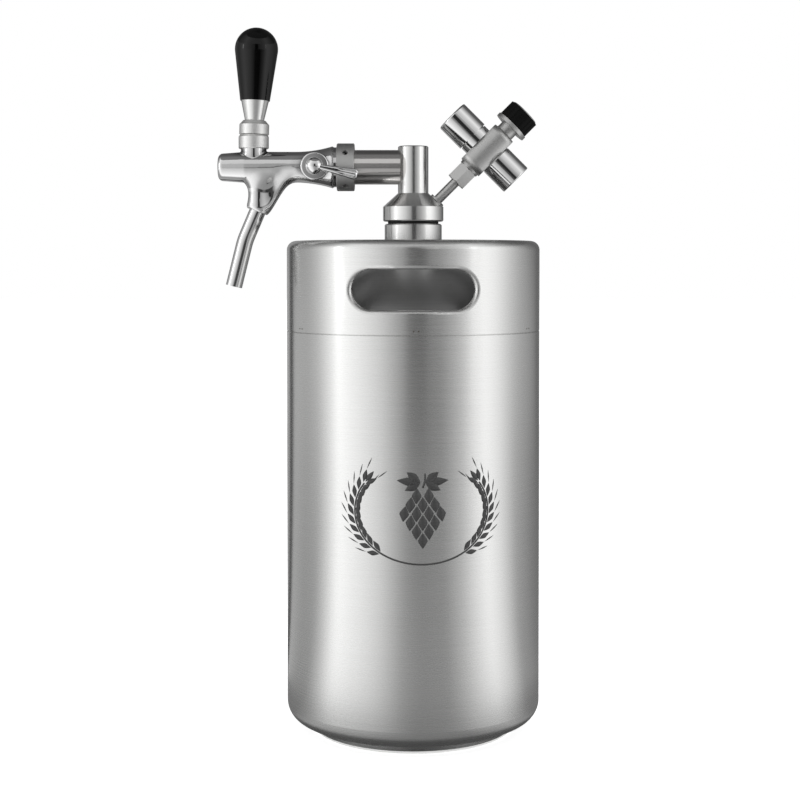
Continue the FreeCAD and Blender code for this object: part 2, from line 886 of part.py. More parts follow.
def make_relief_valve():
    """Spring-loaded safety valve on the back of the cone, and the button pulled to vent."""
    tilt = S.regulator_tilt
    turn = Rotation(Z_AXIS, S.relief_turn.value) * Rotation(Y_AXIS, tilt.value)
    height = regulator_root
    radius = S.relief_diameter / 2
    thread = radius - S.relief_cap / 2
    seat = S.relief_start + S.relief_hex
    top = S.relief_start + S.relief_length
    bore = S.relief_bore / 2
    pin = S.relief_pin / 2
    body = new_body("relief_valve")
    turned(body, "Shell", [
        (bore, S.relief_start), (thread, S.relief_start), (thread, seat), (radius, seat),
        (radius, top - S.relief_cap / 2), (radius - S.relief_cap / 2, top),
        (pin + S.arbor_clearance, top), (pin + S.arbor_clearance, top - S.relief_cap),
        (bore, top - S.relief_cap),
    ])
    pull = new_body("relief_pull")
    cap = S.relief_pull_diameter / 2
    foot = bore - S.relief_pull_gap
    gap_top = top + S.relief_pull_gap
    turned(pull, "Button", [
        (0, seat), (foot, seat), (foot, seat + S.relief_foot), (pin, seat + S.relief_foot),
        (pin, gap_top), (cap, gap_top),
        (cap, gap_top + S.relief_pull), (0, gap_top + S.relief_pull),
    ])
    for item in (body, pull):
        item.Placement = Placement(Vector(0, 0, height.value), turn)
        bind(item, "Placement.Base.z", height)


# ---------------------------------------------------------------- shank and coupling

shank_end = S.shank_seat + S.shank_length
flange_end = shank_end + S.shank_flange
tail_start = flange_end + S.washer_thickness
nut_start = shank_end - S.nut_lip


def make_shank():
    """Thick pipe from the stem to the tap, its root shaped to the stem's side."""
    body = new_body("shank")
    outer = S.shank_diameter / 2
    bore = S.shank_bore / 2
    flange = S.shank_flange_diameter / 2
    turned(body, "Pipe", [
        (bore, S.shank_seat), (outer, S.shank_seat), (outer, shank_end), (flange, shank_end),
        (flange, flange_end), (bore, flange_end),
    ])
    sketch = new_sketch(body, "SaddleCircle", "YZ_Plane")
    circle(sketch, 0, 0, stem_radius)
    pressed(body, "Saddle", sketch, S.shank_diameter * 2, cut=True, both=True)
    on_tap_axis(body)


def make_shank_washer():
    """Flat washer squeezed between the shank and the tap's tail."""
    body = new_body("shank_washer")
    bore = S.shank_bore / 2
    outer = S.shank_flange_diameter / 2
    turned(body, "Ring", [
        (bore, flange_end), (outer, flange_end), (outer, tail_start), (bore, tail_start),
    ])
    on_tap_axis(body)


def make_coupling_nut():
    """Round nut that draws the tap onto the shank, turned with a pin spanner."""
    body = new_body("coupling_nut")
    outer = S.nut_diameter / 2
    lip = S.shank_diameter / 2 + S.nut_clearance
    thread = S.tail_thread_diameter / 2 + S.nut_clearance
    end = nut_start + S.nut_length
    chamfer = S.nut_chamfer
    turned(body, "Ring", [
        (lip, nut_start), (outer - chamfer, nut_start), (outer, nut_start + chamfer),
        (outer, end - chamfer), (outer - chamfer, end), (thread, end), (thread, shank_end),
        (lip, shank_end),
    ])
    sketch = new_sketch(body, "SpannerHoleCircle", "YZ_Plane")
    circle(sketch, 0, nut_start + S.nut_length / 2, S.nut_hole / 2)
    hole = pressed(body, "SpannerHole", sketch, S.nut_diameter, cut=True, back=True)
    pattern = body.newObject("PartDesign::PolarPattern", "SpannerHoles")
    pattern.Originals = [hole]
    pattern.Axis = (sketch, ["V_Axis"])
    pattern.Angle = 360
    bind(pattern, "Occurrences", S.nut_hole_count)
    body.Tip = pattern
    doc.recompute()
    on_tap_axis(body)
    spin = Rotation(Z_AXIS, S.nut_hole_turn.value)
    body.Placement = body.Placement.multiply(Placement(Vector(), spin))
    body.setExpression("Placement.Rotation.Angle", None)


# ---------------------------------------------------------------- tap

barrel_radius = S.barrel_diameter / 2
ball_radius = S.ball_diameter / 2


def make_tap_body():
    """Forged tap: flared barrel, bonnet boss, flow control boss, nozzle and its rear rib."""
    body = new_body("tap_body")
    make_barrel(body)
    make_nozzle(body)
    make_rib(body)
    boss = new_sketch(body, "BonnetBossCircle", "YZ_Plane")
    circle(boss, 0, S.handle_place, S.boss_diameter / 2)
    pressed(body, "BonnetBoss", boss, S.boss_height)
    boss = new_sketch(body, "FlowBossCircle", "XZ_Plane")
    circle(boss, 0, S.flow_place, S.flow_boss_diameter / 2)
    pressed(body, "FlowBoss", boss, S.flow_boss_reach)
    cut_waterways(body)
    on_tap_axis(body)


def make_barrel(body):
    """Solid of the barrel, from the tail's thread over the flare to the rounded front."""
    thread = S.tail_thread_diameter / 2
    flare = S.flare_diameter / 2
    rise = flare - barrel_radius
    sweep = (S.flare_length * S.flare_length + rise * rise) / (rise * 2)
    end = S.barrel_end_diameter / 2
    fillet = S.barrel_end_round
    turned(body, "Barrel", [
        (0, tail_start), (thread, tail_start), (thread, S.tail_end), (flare, S.tail_end),
        (barrel_radius, S.tail_end + S.flare_length, -sweep),
        (barrel_radius, S.barrel_taper_start), (end, S.barrel_end - fillet),
        (end - fillet, S.barrel_end, fillet), (0, S.barrel_end),
    ])


def ellipse(sketch, length, width):
    """Ellipse about the sketch's origin, its length along Y and its width along X."""
    length, width = dim(length), dim(width)
    if width.value > length.value:
        major, minor, direction, tip, side = width, length, "Horizontal", X_AXIS, Y_AXIS
    else:
        major, minor, direction, tip, side = length, width, "Vertical", Y_AXIS, -X_AXIS
    shape = Part.Ellipse(tip * (major.value / 2), side * (minor.value / 2), Vector(0, 0, 0))
    edge = sketch.addGeometry(shape, False)
    sketch.exposeInternalGeometry(edge)
    sketch.addConstraint(Sketcher.Constraint("Coincident", edge, 3, -1, 1))
    sketch.addConstraint(Sketcher.Constraint(direction, edge + 1))
    for axis, size, name in ((edge + 1, major, "major"), (edge + 2, minor, "minor")):
        hold(sketch, Sketcher.Constraint("Distance", axis, size.value), size, name)


def tap_section(body, name, lag, drop, length, width=None, tilt=0):
    """Round or elliptical section below the tap's axis, behind the spout's place by the lag."""
    sketch = new_sketch(body, name, "YZ_Plane", -dim(drop))
    place, tilt = S.spout_place - lag, dim(tilt)
    base = Vector(0, place.value, -dim(drop).value)
    sketch.AttachmentOffset = Placement(base, Rotation(X_AXIS, tilt.value))
    bind(sketch, "AttachmentOffset.Base.y", place)
    if tilt.value:
        bind(sketch, "AttachmentOffset.Rotation.Angle", tilt)
    if width is None:
        circle(sketch, 0, 0, length / 2)
    else:
        ellipse(sketch, length, width)
    return sketch


def lofted(body, name, sections):
    """Smooth loft through the sections, in order."""
    loft = body.newObject("PartDesign::AdditiveLoft", name)
    loft.Profile = sections[0]
    loft.Sections = sections[1:]
    doc.recompute()


def make_nozzle(body):
    """Downward nozzle, flared out along the barrel's belly, to the mouth that takes the spout."""
    mouth = (0, S.spout_drop, S.nozzle_end_diameter, None, S.nozzle_tilt)
    lofted(body, "Nozzle", [
        tap_section(body, "NozzleRoot", S.nozzle_root_lag, S.nozzle_root_drop,
                    S.nozzle_root_length, S.nozzle_root_width),
        tap_section(body, "NozzleFlare", S.nozzle_flare_lag, S.nozzle_flare_drop,
                    S.nozzle_flare_length, S.nozzle_flare_width),
        tap_section(body, "NozzleWaist", S.nozzle_waist_lag, S.nozzle_waist_drop,
                    S.nozzle_waist_length, S.nozzle_waist_width),
        tap_section(body, "NozzleThroat", S.nozzle_throat_lag, S.nozzle_throat_drop,
                    S.nozzle_throat_diameter),
        tap_section(body, "NozzleMouth", *mouth),
    ])
    pressed(body, "Sleeve", tap_section(body, "SleeveCircle", *mouth), S.nozzle_sleeve)


def make_rib(body):
    """Rib that leaves the barrel as an elbow and tapers down the back of the nozzle."""
    upright = 90
    lofted(body, "Rib", [
        tap_section(body, "RibRoot", S.rib_root_lag, S.rib_root_drop, S.rib_root_diameter,
                    None, upright),
        tap_section(body, "RibBend", S.rib_bend_lag, S.rib_bend_drop, S.rib_bend_length,
                    S.rib_bend_width, S.rib_bend_tilt),
        tap_section(body, "RibWaist", S.rib_waist_lag, S.rib_waist_drop, S.rib_waist_length,
                    S.rib_waist_width, S.rib_waist_tilt),
        tap_section(body, "RibEnd", S.rib_end_lag, S.rib_end_drop, S.rib_end_length,
                    S.rib_end_width, S.rib_end_tilt),
    ])


def cut_waterways(body):
    """Tail bore, valve seat, lever chamber, shaft guide, boss bore and outlet."""
    tail = S.tail_bore / 2
    seat = S.seat_bore / 2
    chamber = S.chamber_bore / 2
    guide = S.valve_diameter / 2 + S.thread_clearance
    seat_end = S.seat_place + S.seat_length
    turned(body, "Waterway", [
        (0, tail_start), (tail, tail_start), (tail, S.seat_place), (seat, S.seat_place),
        (seat, seat_end), (chamber, seat_end), (chamber, S.guide_place), (guide, S.guide_place),
        (guide, S.guide_end), (0, S.guide_end),
    ], cut=True)
    ball_bottom = S.ball_height - ball_radius
    at_handle = (ball_bottom, 0, S.handle_place)
    drilled(body, "BallBore", ball_radius + S.ball_clearance, S.boss_height, at_handle,
            Y_AXIS, dim(90))
    drilled(body, "TongueHole", S.boss_hole / 2, S.boss_height, (0, 0, S.handle_place),
            Y_AXIS, dim(90))
    tilt = S.nozzle_tilt
    socket_top = S.spout_drop - S.spout_insert * cosine(tilt)
    outlet_place = S.spout_place - S.spout_insert * sine(tilt)
    drilled(body, "SpoutSocket", S.spout_diameter / 2 + S.spout_clearance,
            S.spout_insert + S.nozzle_end_diameter,
            (-socket_top, 0, outlet_place), Y_AXIS, tilt - 90)
    drilled(body, "Outlet", S.nozzle_bore / 2, socket_top + S.spout_clearance,
            (-socket_top - S.spout_clearance, 0, outlet_place), Y_AXIS, dim(90))
    drilled(body, "FlowShaftBore", S.flow_shaft / 2 + S.flow_clearance, S.flow_boss_reach * 2,
            (0, 0, S.flow_place), X_AXIS, dim(90))


def swept(body, name, profile, spine):
    """Sweep a profile sketch along every edge of a spine sketch."""
    feature = body.newObject("PartDesign::AdditivePipe", name)
    feature.Profile = profile
    feature.Spine = (spine, [f"Edge{index + 1}" for index in range(spine.GeometryCount)])
    doc.recompute()


def make_spout():
    """Bent stainless pouring tube, cut square, and the seal ring it is pushed up against."""
    outer = S.spout_diameter / 2
    bore = outer - S.spout_wall
    top = S.spout_insert - S.spout_seal_section
    body = new_body("spout_tube")
    profile = new_sketch(body, "TubeRings", "XY_Plane", top)
    circle(profile, 0, 0, outer)
    circle(profile, 0, 0, bore)
    spine = new_sketch(body, "TubeLine", "XZ_Plane")
    turn = S.spout_turn
    trim = S.spout_bend * tangent(turn / 2)
    corner = -S.spout_upper
    outline(spine, [
        (0, top), (0, corner + trim),
        (trim * sine(turn), corner - trim * cosine(turn), S.spout_bend),
        (S.spout_lower * sine(turn), corner - S.spout_lower * cosine(turn)),
    ], closed=False)
    swept(body, "Tube", profile, spine)
    seal = new_body("spout_seal")
    turned(seal, "Ring", [
        (bore, top), (outer, top), (outer, S.spout_insert), (bore, S.spout_insert),
    ])
    for item in (body, seal):
        placed(item, -S.spout_place, 0, tap_axis_height - S.spout_drop, Y_AXIS, S.nozzle_tilt)


# ---------------------------------------------------------------- lever and bonnet

seat_sphere = ball_radius + S.ball_clearance * 2
washer_bottom = S.boss_height - S.ball_height
washer_top = washer_bottom + S.ball_washer_thickness


def sphere_radius_at(sphere, height):
    """Radius of a sphere's level circle at a height from its centre."""
    return root(sphere * sphere - height * height)


def make_bonnet_nut():
    """Round nut that holds the ball down; its mouth lets the lever lean forward."""
    body = new_body("bonnet_nut")
    outer = S.bonnet_diameter / 2
    thread = S.boss_diameter / 2 + S.nut_clearance
    mouth = S.bonnet_mouth / 2
    chamfer = S.nut_chamfer
    turned(body, "Ring", [
        (thread, S.bonnet_bottom), (outer - chamfer, S.bonnet_bottom),
        (outer, S.bonnet_bottom + chamfer), (outer, sphere_radius_at(S.bonnet_dome, outer)),
        (mouth, sphere_radius_at(S.bonnet_dome, mouth), S.bonnet_dome),
        (sphere_radius_at(seat_sphere, washer_top), washer_top), (thread, washer_top),
    ])
    on_ball(body)


def make_ball_washer():
    """Friction washer between the boss and the bonnet nut, hollowed to the ball."""
    body = new_body("ball_washer")
    outer = S.boss_diameter / 2
    turned(body, "Ring", [
        (sphere_radius_at(seat_sphere, washer_bottom), washer_bottom, -seat_sphere),
        (outer, washer_bottom), (outer, washer_top),
        (sphere_radius_at(seat_sphere, washer_top), washer_top),
    ])
    on_ball(body)


def make_lever_ball():
    """Ball with its threaded stud above and the tongue that works the valve below."""
    body = new_body("lever_ball")
    stud = S.lever_stud / 2
    tongue = S.tongue_diameter / 2
    top = S.ferrule_top + S.handle_stud_depth
    turned(body, "Turning", [
        (0, -S.tongue_reach), (tongue, tongue - S.tongue_reach, tongue),
        (tongue, -sphere_radius_at(ball_radius, tongue)),
        (stud, sphere_radius_at(ball_radius, stud), ball_radius), (stud, top), (0, top),
    ])
    on_ball(body, S.lever_lean)


def make_lever_collar():
    """Ring above the bonnet, hollowed below so that it rolls over the bonnet's dome."""
    body = new_body("lever_collar")
    stud = S.lever_stud / 2
    outer = S.lever_collar_diameter / 2
    hollow = S.bonnet_dome + S.dome_clearance
    bottom = S.lever_collar_bottom
    turned(body, "Ring", [
        (stud, sphere_radius_at(hollow, stud)),
        (sphere_radius_at(hollow, bottom), bottom, -hollow), (outer, bottom),
        (outer, S.lever_collar_shoulder), (S.lever_collar_top_diameter / 2, S.lever_collar_top),
        (stud, S.lever_collar_top),
    ])
    on_ball(body, S.lever_lean)


def make_handle_ferrule():
    """Flared metal ferrule between the collar and the handle."""
    body = new_body("handle_ferrule")
    stud = S.lever_stud / 2
    turned(body, "Cone", [
        (stud, S.lever_collar_top), (S.ferrule_bottom_diameter / 2, S.lever_collar_top),
        (S.ferrule_top_diameter / 2, S.ferrule_top), (stud, S.ferrule_top),
    ])
    on_ball(body, S.lever_lean)


def make_tap_handle():
    """Black handle that widens upwards to a ball end."""
    body = new_body("tap_handle")
    stud = S.lever_stud / 2
    crown = S.handle_diameter / 2
    taper = S.handle_taper
    shoulder = S.handle_centre - crown * sine(taper)
    foot = crown * cosine(taper) - (shoulder - S.ferrule_top) * tangent(taper)
    hole_top = S.ferrule_top + S.handle_stud_depth
    turned(body, "Grip", [
        (stud, S.ferrule_top), (foot, S.ferrule_top), (crown * cosine(taper), shoulder),
        (0, S.handle_centre + crown, crown), (0, hole_top), (stud, hole_top),
    ])
    on_ball(body, S.lever_lean)


# ---------------------------------------------------------------- valve and flow control

valve_seal_start = S.seat_place - S.valve_seal


def make_valve_shaft():
    """Sliding shaft with the pocket that the lever's tongue pushes, and its seal's flange."""
    body = new_body("valve_shaft")
    shaft = S.valve_diameter / 2
    neck = S.valve_neck_diameter / 2
    flange = S.valve_flange_diameter / 2
    turned(body, "Turning", [
        (0, valve_seal_start - S.valve_flange), (flange, valve_seal_start - S.valve_flange),
        (flange, valve_seal_start), (neck, valve_seal_start), (neck, S.valve_neck_end),
        (shaft, S.valve_neck_end), (shaft, S.valve_front), (0, S.valve_front),
    ])
    middle = S.handle_place + S.ball_height * tangent(S.lever_lean)
    half = S.valve_pocket_length / 2
    side = S.valve_pocket_width / 2
    sketch = new_sketch(body, "PocketOutline", "YZ_Plane")
    outline(sketch, [
        (-side, middle - half), (side, middle - half), (side, middle + half),
        (-side, middle + half),
    ])
    pressed(body, "TonguePocket", sketch, S.valve_diameter * 2, cut=True, both=True)
    on_tap_axis(body)


def make_valve_seal():
    """Rubber ring that shuts against the rear of the valve seat."""
    body = new_body("valve_seal")
    neck = S.valve_neck_diameter / 2
    outer = S.valve_seal_diameter / 2
    turned(body, "Ring", [
        (neck, valve_seal_start), (outer, valve_seal_start), (outer, S.seat_place),
        (neck, S.seat_place),
    ])
    on_tap_axis(body)


def on_flow_axis(item, drop=0):
    """Local Z leaves the tap's side towards -Y; local X is the arm's direction."""
    turn = Rotation(Y_AXIS, dim(drop).value) * Rotation(X_AXIS, 90)
    item.Placement = Placement(Vector(-S.flow_place.value, 0, tap_axis_height.value), turn)
    bind(item, "Placement.Base.x", -S.flow_place)
    bind(item, "Placement.Base.z", tap_axis_height)


def make_flow_gland():
    """Round gland that seals the flow lever's shaft."""
    body = new_body("flow_gland")
    bore = S.flow_shaft / 2 + S.flow_clearance
    outer = S.gland_diameter / 2
    start = S.flow_boss_reach
    end = start + S.gland_thickness
    turned(body, "Ring", [
        (bore, start), (outer, start), (outer, end - S.gland_round),
        (outer - S.gland_round, end, S.gland_round), (bore, end),
    ])
    on_flow_axis(body)


def make_flow_lever():
    """Flow lever: ball head, widening arm, shaft, and the offset pin that moves the cone."""
    body = new_body("flow_lever")
    shaft = S.flow_shaft / 2
    head = S.flow_head_diameter / 2
    centre = S.flow_head_place
    head_start = S.flow_boss_reach + S.gland_thickness + S.knob_gap
    head_foot = root(head * head - (centre - head_start) * (centre - head_start))
    turned(body, "Head", [
        (0, S.flow_shaft_end), (shaft, S.flow_shaft_end), (shaft, head_start),
        (head_foot, head_start), (0, centre + head, head),
    ])
    half = S.flow_arm_root / 2
    tip = S.flow_arm_tip / 2
    corner = S.flow_arm_round
    length = S.flow_arm_length
    arm = new_sketch(body, "ArmOutline", "XY_Plane", centre - S.flow_arm_thickness / 2)
    outline(arm, [
        (shaft, -half), (length - corner, -tip), (length, corner - tip, corner),
        (length, tip - corner), (length - corner, tip, corner), (shaft, half),
    ])
    pressed(body, "Arm", arm, S.flow_arm_thickness)
    pin = new_sketch(body, "PinCircle", "XY_Plane", S.flow_pin_end)
    throw = S.flow_throw
    circle(pin, throw * cosine(S.flow_arm_drop), throw * sine(S.flow_arm_drop), S.flow_pin / 2)
    pressed(body, "Pin", pin, S.flow_shaft_end - S.flow_pin_end)
    on_flow_axis(body, S.flow_arm_drop)


def make_flow_compensator():
    """Cone that slides in the tap's tail and throttles the beer; the pin works in its groove."""
    body = new_body("flow_compensator")
    outer = S.compensator_diameter / 2
    core = S.compensator_core / 2
    groove = S.flow_place - S.flow_throw
    half = S.flow_groove / 2
    turned(body, "Cone", [
        (0, S.compensator_start), (outer, S.compensator_start), (outer, groove - half),
        (core, groove - half), (core, groove + half), (outer, groove + half),
        (outer, S.compensator_land), (S.compensator_tip / 2, S.compensator_end),
        (0, S.compensator_end),
    ])
    on_tap_axis(body)


# ---------------------------------------------------------------- regulator

hex_end = S.hex_start + S.hex_length
block_start = hex_end + S.regulator_shoulder_length
block_end = block_start + S.regulator_length
carriage_top = block_end - S.regulator_lip - S.carriage_gap
carriage_bottom = carriage_top - S.carriage_thickness
piston_top = S.spring_chamber_start + S.piston_thickness
block_side = S.regulator_flats / 2


def make_gas_tube():
    """Slanting tube that carries the regulator and lets the gas into the head."""
    body = new_body("gas_tube")
    bore = S.gas_tube_bore / 2
    outer = S.gas_tube_diameter / 2
    flange = S.gas_flange_diameter / 2
    flange_top = S.gas_flange_start + S.gas_flange
    turned(body, "Tube", [
        (bore, S.gas_tube_start), (outer, S.gas_tube_start), (outer, S.gas_flange_start),
        (flange, S.gas_flange_start), (flange, flange_top), (outer, flange_top),
        (outer, hex_end), (bore, hex_end),
    ])
    on_regulator(body)


def make_regulator_nut():
    """Hexagon union nut under the regulator."""
    body = new_body("regulator_nut")
    sketch = new_sketch(body, "HexOutline", "XY_Plane", S.hex_start)
    corner = S.hex_flats / 2 / cosine(dim(SIDE_TURN / 2))
    turns = [dim(SIDE_TURN * (side + 0.5)) for side in range(HEX_SIDES)]
    outline(sketch, [(corner * cosine(turn), corner * sine(turn)) for turn in turns])
    pressed(body, "Hex", sketch, S.hex_length)
    beyond = S.hex_flats
    slope = (beyond - S.hex_flats / 2) * tangent(S.hex_bevel)
    for name, end, inward in (("TopBevel", hex_end, -slope), ("BottomBevel", S.hex_start, slope)):
        turned(body, name, [
            (S.hex_flats / 2, end), (beyond, end), (beyond, end + inward),
        ], cut=True)
    drilled(body, "Bore", S.gas_tube_diameter / 2, S.hex_length * 2,
            (0, 0, S.hex_start - S.hex_length / 2))
    on_regulator(body)


def make_regulator_body():
    """Turned regulator block with milled sides for the gauge and the cartridge socket."""
    body = new_body("regulator_body")
    bore = S.gas_tube_bore / 2
    neck = S.regulator_shoulder / 2
    outer = S.regulator_diameter / 2
    fillet = S.regulator_round
    chamber = S.spring_chamber / 2
    screw = S.knob_screw / 2 + S.arbor_clearance
    turned(body, "Block", [
        (bore, hex_end), (neck, hex_end), (neck, block_start), (outer - fillet, block_start),
        (outer, block_start + fillet, fillet), (outer, block_end - fillet),
        (outer - fillet, block_end, fillet), (screw, block_end), (screw, block_end - S.regulator_lip),
        (chamber, block_end - S.regulator_lip), (chamber, S.spring_chamber_start),
        (bore, S.spring_chamber_start),
    ])
    beyond = S.regulator_diameter
    for side, name in ((1, "SocketFlat"), (-1, "GaugeFlat")):
        sketch = new_sketch(body, name + "Outline", "XZ_Plane")
        outline(sketch, [
            (block_side * side, block_start), (beyond * side, block_start),
            (beyond * side, block_end), (block_side * side, block_end),
        ])
        pressed(body, name, sketch, S.regulator_diameter * 2, cut=True, both=True)
    drilled(body, "CrossPort", S.port_bore / 2, S.regulator_diameter,
            (-outer, 0, S.port_place), Y_AXIS, dim(90))
    drilled(body, "GaugeThread", S.gauge_thread_diameter / 2, S.regulator_diameter,
            (S.gauge_thread - block_side, 0, S.port_place), Y_AXIS, dim(-90))
    on_regulator(body)


def make_piston():
    """Piston that the regulator's spring presses on."""
    body = new_body("regulator_piston")
    outer = S.spring_chamber / 2 - S.arbor_clearance
    turned(body, "Disc", [
        (0, S.spring_chamber_start), (outer, S.spring_chamber_start), (outer, piston_top),
        (0, piston_top),
    ])
    on_regulator(body)


def make_regulator_spring():
    """Coil spring between the piston and the carriage."""
    wire = S.spring_wire / 2
    radius = S.spring_chamber / 2 - wire - S.knob_gap
    low = piston_top + wire
    height = carriage_bottom - wire - low
    pitch = height / S.spring_turns
    helix = Part.makeHelix(pitch.value, height.value, radius.value)
    ring = Part.Wire(Part.makeCircle(wire.value, Vector(radius.value, 0, 0), Y_AXIS))
    item = doc.addObject("Part::Feature", "regulator_spring")
    item.Label = "regulator_spring"
    item.Shape = helix.makePipeShell([ring], True, True)
    on_regulator(item, low)
    NODES.append(item)


def make_spring_carriage():
    """Threaded disc that the knob's screw drives down onto the spring."""
    body = new_body("spring_carriage")
    outer = S.spring_chamber / 2 - S.knob_gap
    screw = S.knob_screw / 2 + S.arbor_clearance
    turned(body, "Disc", [
        (screw, carriage_bottom), (outer, carriage_bottom), (outer, carriage_top),
        (screw, carriage_top),
    ])
    on_regulator(body)


hub_start = block_end + S.knob_gap
knob_flange_start = hub_start + S.knob_hub
grip_start = knob_flange_start + S.knob_flange
grip_end = grip_start + S.knob_grip


def make_knob_core():
    """Metal heart of the adjusting knob: screw, hub, flange and the rim over the grip."""
    body = new_body("knob_core")
    screw = S.knob_screw / 2
    hub = S.knob_hub_diameter / 2
    flange = S.knob_flange_diameter / 2
    core = S.knob_core_diameter / 2
    rim = S.knob_rim_diameter / 2
    turned(body, "Turning", [
        (0, block_end - S.knob_screw_length), (screw, block_end - S.knob_screw_length),
        (screw, hub_start), (hub, hub_start), (hub, knob_flange_start),
        (flange, knob_flange_start), (flange, grip_start), (core, grip_start), (core, grip_end),
        (rim, grip_end), (rim - S.knob_rim, grip_end + S.knob_rim), (0, grip_end + S.knob_rim),
    ])
    on_regulator(body)


def make_knob_grip():
    """Black fluted sleeve pressed onto the knob."""
    body = new_body("knob_grip")
    core = S.knob_core_diameter / 2
    outer = S.knob_grip_diameter / 2
    turned(body, "Sleeve", [
        (core, grip_start), (outer, grip_start), (outer, grip_end), (core, grip_end),
    ])
    sketch = new_sketch(body, "FluteCircle", "XY_Plane", grip_start)
    circle(sketch, outer + S.knob_flute / 4, 0, S.knob_flute / 2)
    flute = pressed(body, "Flute", sketch, S.knob_grip, cut=True, back=True)
    pattern = body.newObject("PartDesign::PolarPattern", "Flutes")
    pattern.Originals = [flute]
    pattern.Axis = (sketch, ["N_Axis"])
    pattern.Angle = 360
    bind(pattern, "Occurrences", S.knob_flute_count)
    body.Tip = pattern
    doc.recompute()
    on_regulator(body)


# ---------------------------------------------------------------- pressure gauge

gauge_neck_end = block_side + S.gauge_neck
case_start = gauge_neck_end + S.gauge_groove
case_end = case_start + S.gauge_length
case_bore = S.gauge_diameter / 2 - S.gauge_wall
dial_start = case_end - S.dial_depth
dial_end = dial_start + S.dial_thickness
lens_end = case_end - S.lens_ledge
gauge_turn = dim(-90)


def make_gauge_stem():
    """Gauge's threaded stem and the ring it is turned by."""
    body = new_body("gauge_stem")
    bore = S.port_bore / 2
    thread = S.gauge_thread_diameter / 2
    ring = S.gauge_neck_diameter / 2
    groove = S.gauge_groove_diameter / 2
    turned(body, "Turning", [
        (bore, block_side - S.gauge_thread), (thread, block_side - S.gauge_thread),
        (thread, block_side), (ring, block_side), (ring, gauge_neck_end),
        (groove, gauge_neck_end), (groove, case_start), (bore, case_start),
    ])
    on_port(body, gauge_turn)


def make_gauge_case():
    """Polished cup of the gauge, turned in at the front to hold the lens."""
    body = new_body("gauge_case")
    bore = S.port_bore / 2
    outer = S.gauge_diameter / 2
    fillet = S.gauge_round
    mouth = case_bore - S.lens_ledge
    turned(body, "Cup", [
        (bore, case_start), (outer, case_start), (outer, case_end - fillet),
        (outer - fillet, case_end, fillet), (mouth, case_end), (mouth, lens_end),
        (case_bore, lens_end), (case_bore, case_start + S.gauge_wall),
        (bore, case_start + S.gauge_wall),
    ])
    on_port(body, gauge_turn)


def make_gauge_dial():
    """White dial plate."""
    body = new_body("gauge_dial")
    hole = S.needle_arbor / 2 + S.arbor_clearance
    turned(body, "Plate", [
        (hole, dial_start), (case_bore, dial_start), (case_bore, dial_end), (hole, dial_end),
    ])
    on_port(body, gauge_turn)


def make_gauge_needle():
    """Pointer with its hub and arbor, resting at the zero of the scale."""
    body = new_body("gauge_needle")
    arbor = S.needle_arbor / 2
    hub = S.needle_hub / 2
    low = dial_end + S.needle_gap
    high = low + S.needle_thickness
    turned(body, "Arbor", [
        (0, dial_start - S.needle_tail), (arbor, dial_start - S.needle_tail), (arbor, low),
        (hub, low), (hub, high), (0, high),
    ])
    sketch = new_sketch(body, "BladeOutline", "XY_Plane", low)
    half = S.needle_width / 2
    diagonal = cosine(dim(45))
    outline(sketch, [
        (S.needle_tail * diagonal + half, S.needle_tail * diagonal - half),
        (S.needle_tail * diagonal - half, S.needle_tail * diagonal + half),
        (-S.needle_length * diagonal, -S.needle_length * diagonal),
    ])
    pressed(body, "Blade", sketch, S.needle_thickness)
    on_port(body, gauge_turn)


def make_gauge_lens():
    """Clear window, slightly domed."""
    body = new_body("gauge_lens")
    bottom = lens_end - S.lens_thickness
    mouth = case_bore - S.lens_ledge
    dome = (mouth * mouth + S.lens_rise * S.lens_rise) / (S.lens_rise * 2)
    turned(body, "Window", [
        (0, bottom), (case_bore, bottom), (case_bore, lens_end), (mouth, lens_end),
        (0, lens_end + S.lens_rise, dome),
    ])
    on_port(body, gauge_turn)


# ---------------------------------------------------------------- cartridge socket

socket_end = block_side + S.socket_length
thread_top = socket_end - S.socket_rim_depth
thread_bottom = thread_top - S.socket_thread_depth
socket_turn = dim(90)


def make_cartridge_socket():
    """Chrome socket; a carbon dioxide cartridge screws into its thread, down to a relief groove."""
    body = new_body("cartridge_socket")
    bore = S.port_bore / 2
    outer = S.socket_diameter / 2
    thread = S.socket_thread / 2
    relief = S.socket_relief_diameter / 2
    relief_top = thread_bottom + S.socket_relief
    rim = S.socket_rim_diameter / 2
    fillet = S.socket_round
    turned(body, "Turning", [
        (bore, block_side), (outer - fillet, block_side), (outer, block_side + fillet),
        (outer, socket_end - fillet), (outer - fillet, socket_end, fillet), (rim, socket_end),
        (rim, thread_top), (thread, thread_top), (thread, relief_top), (relief, relief_top),
        (relief, thread_bottom), (bore, thread_bottom),
    ])
    on_port(body, socket_turn)


def make_piercing_pin():
    """Hollow pin that pierces the cartridge's cap."""
    body = new_body("piercing_pin")
    head = S.port_bore / 2
    pin = S.pin_diameter / 2
    hole = S.pin_bore / 2
    shoulder = thread_bottom - S.pin_rise
    tip = thread_bottom + S.pin_rise
    turned(body, "Pin", [
        (hole, block_side), (head, block_side), (head, shoulder), (pin, shoulder),
        (pin, tip - S.pin_diameter / 2), (hole, tip),
    ])
    on_port(body, socket_turn)


def make_cartridge_seal():
    """Black ring that seals the cartridge's neck."""
    body = new_body("cartridge_seal")
    inner = S.port_bore / 2
    outer = S.cartridge_seal_diameter / 2
    top = thread_bottom + S.cartridge_seal
    turned(body, "Ring", [
        (inner, thread_bottom), (outer, thread_bottom), (outer, top), (inner, top),
    ])
    on_port(body, socket_turn)


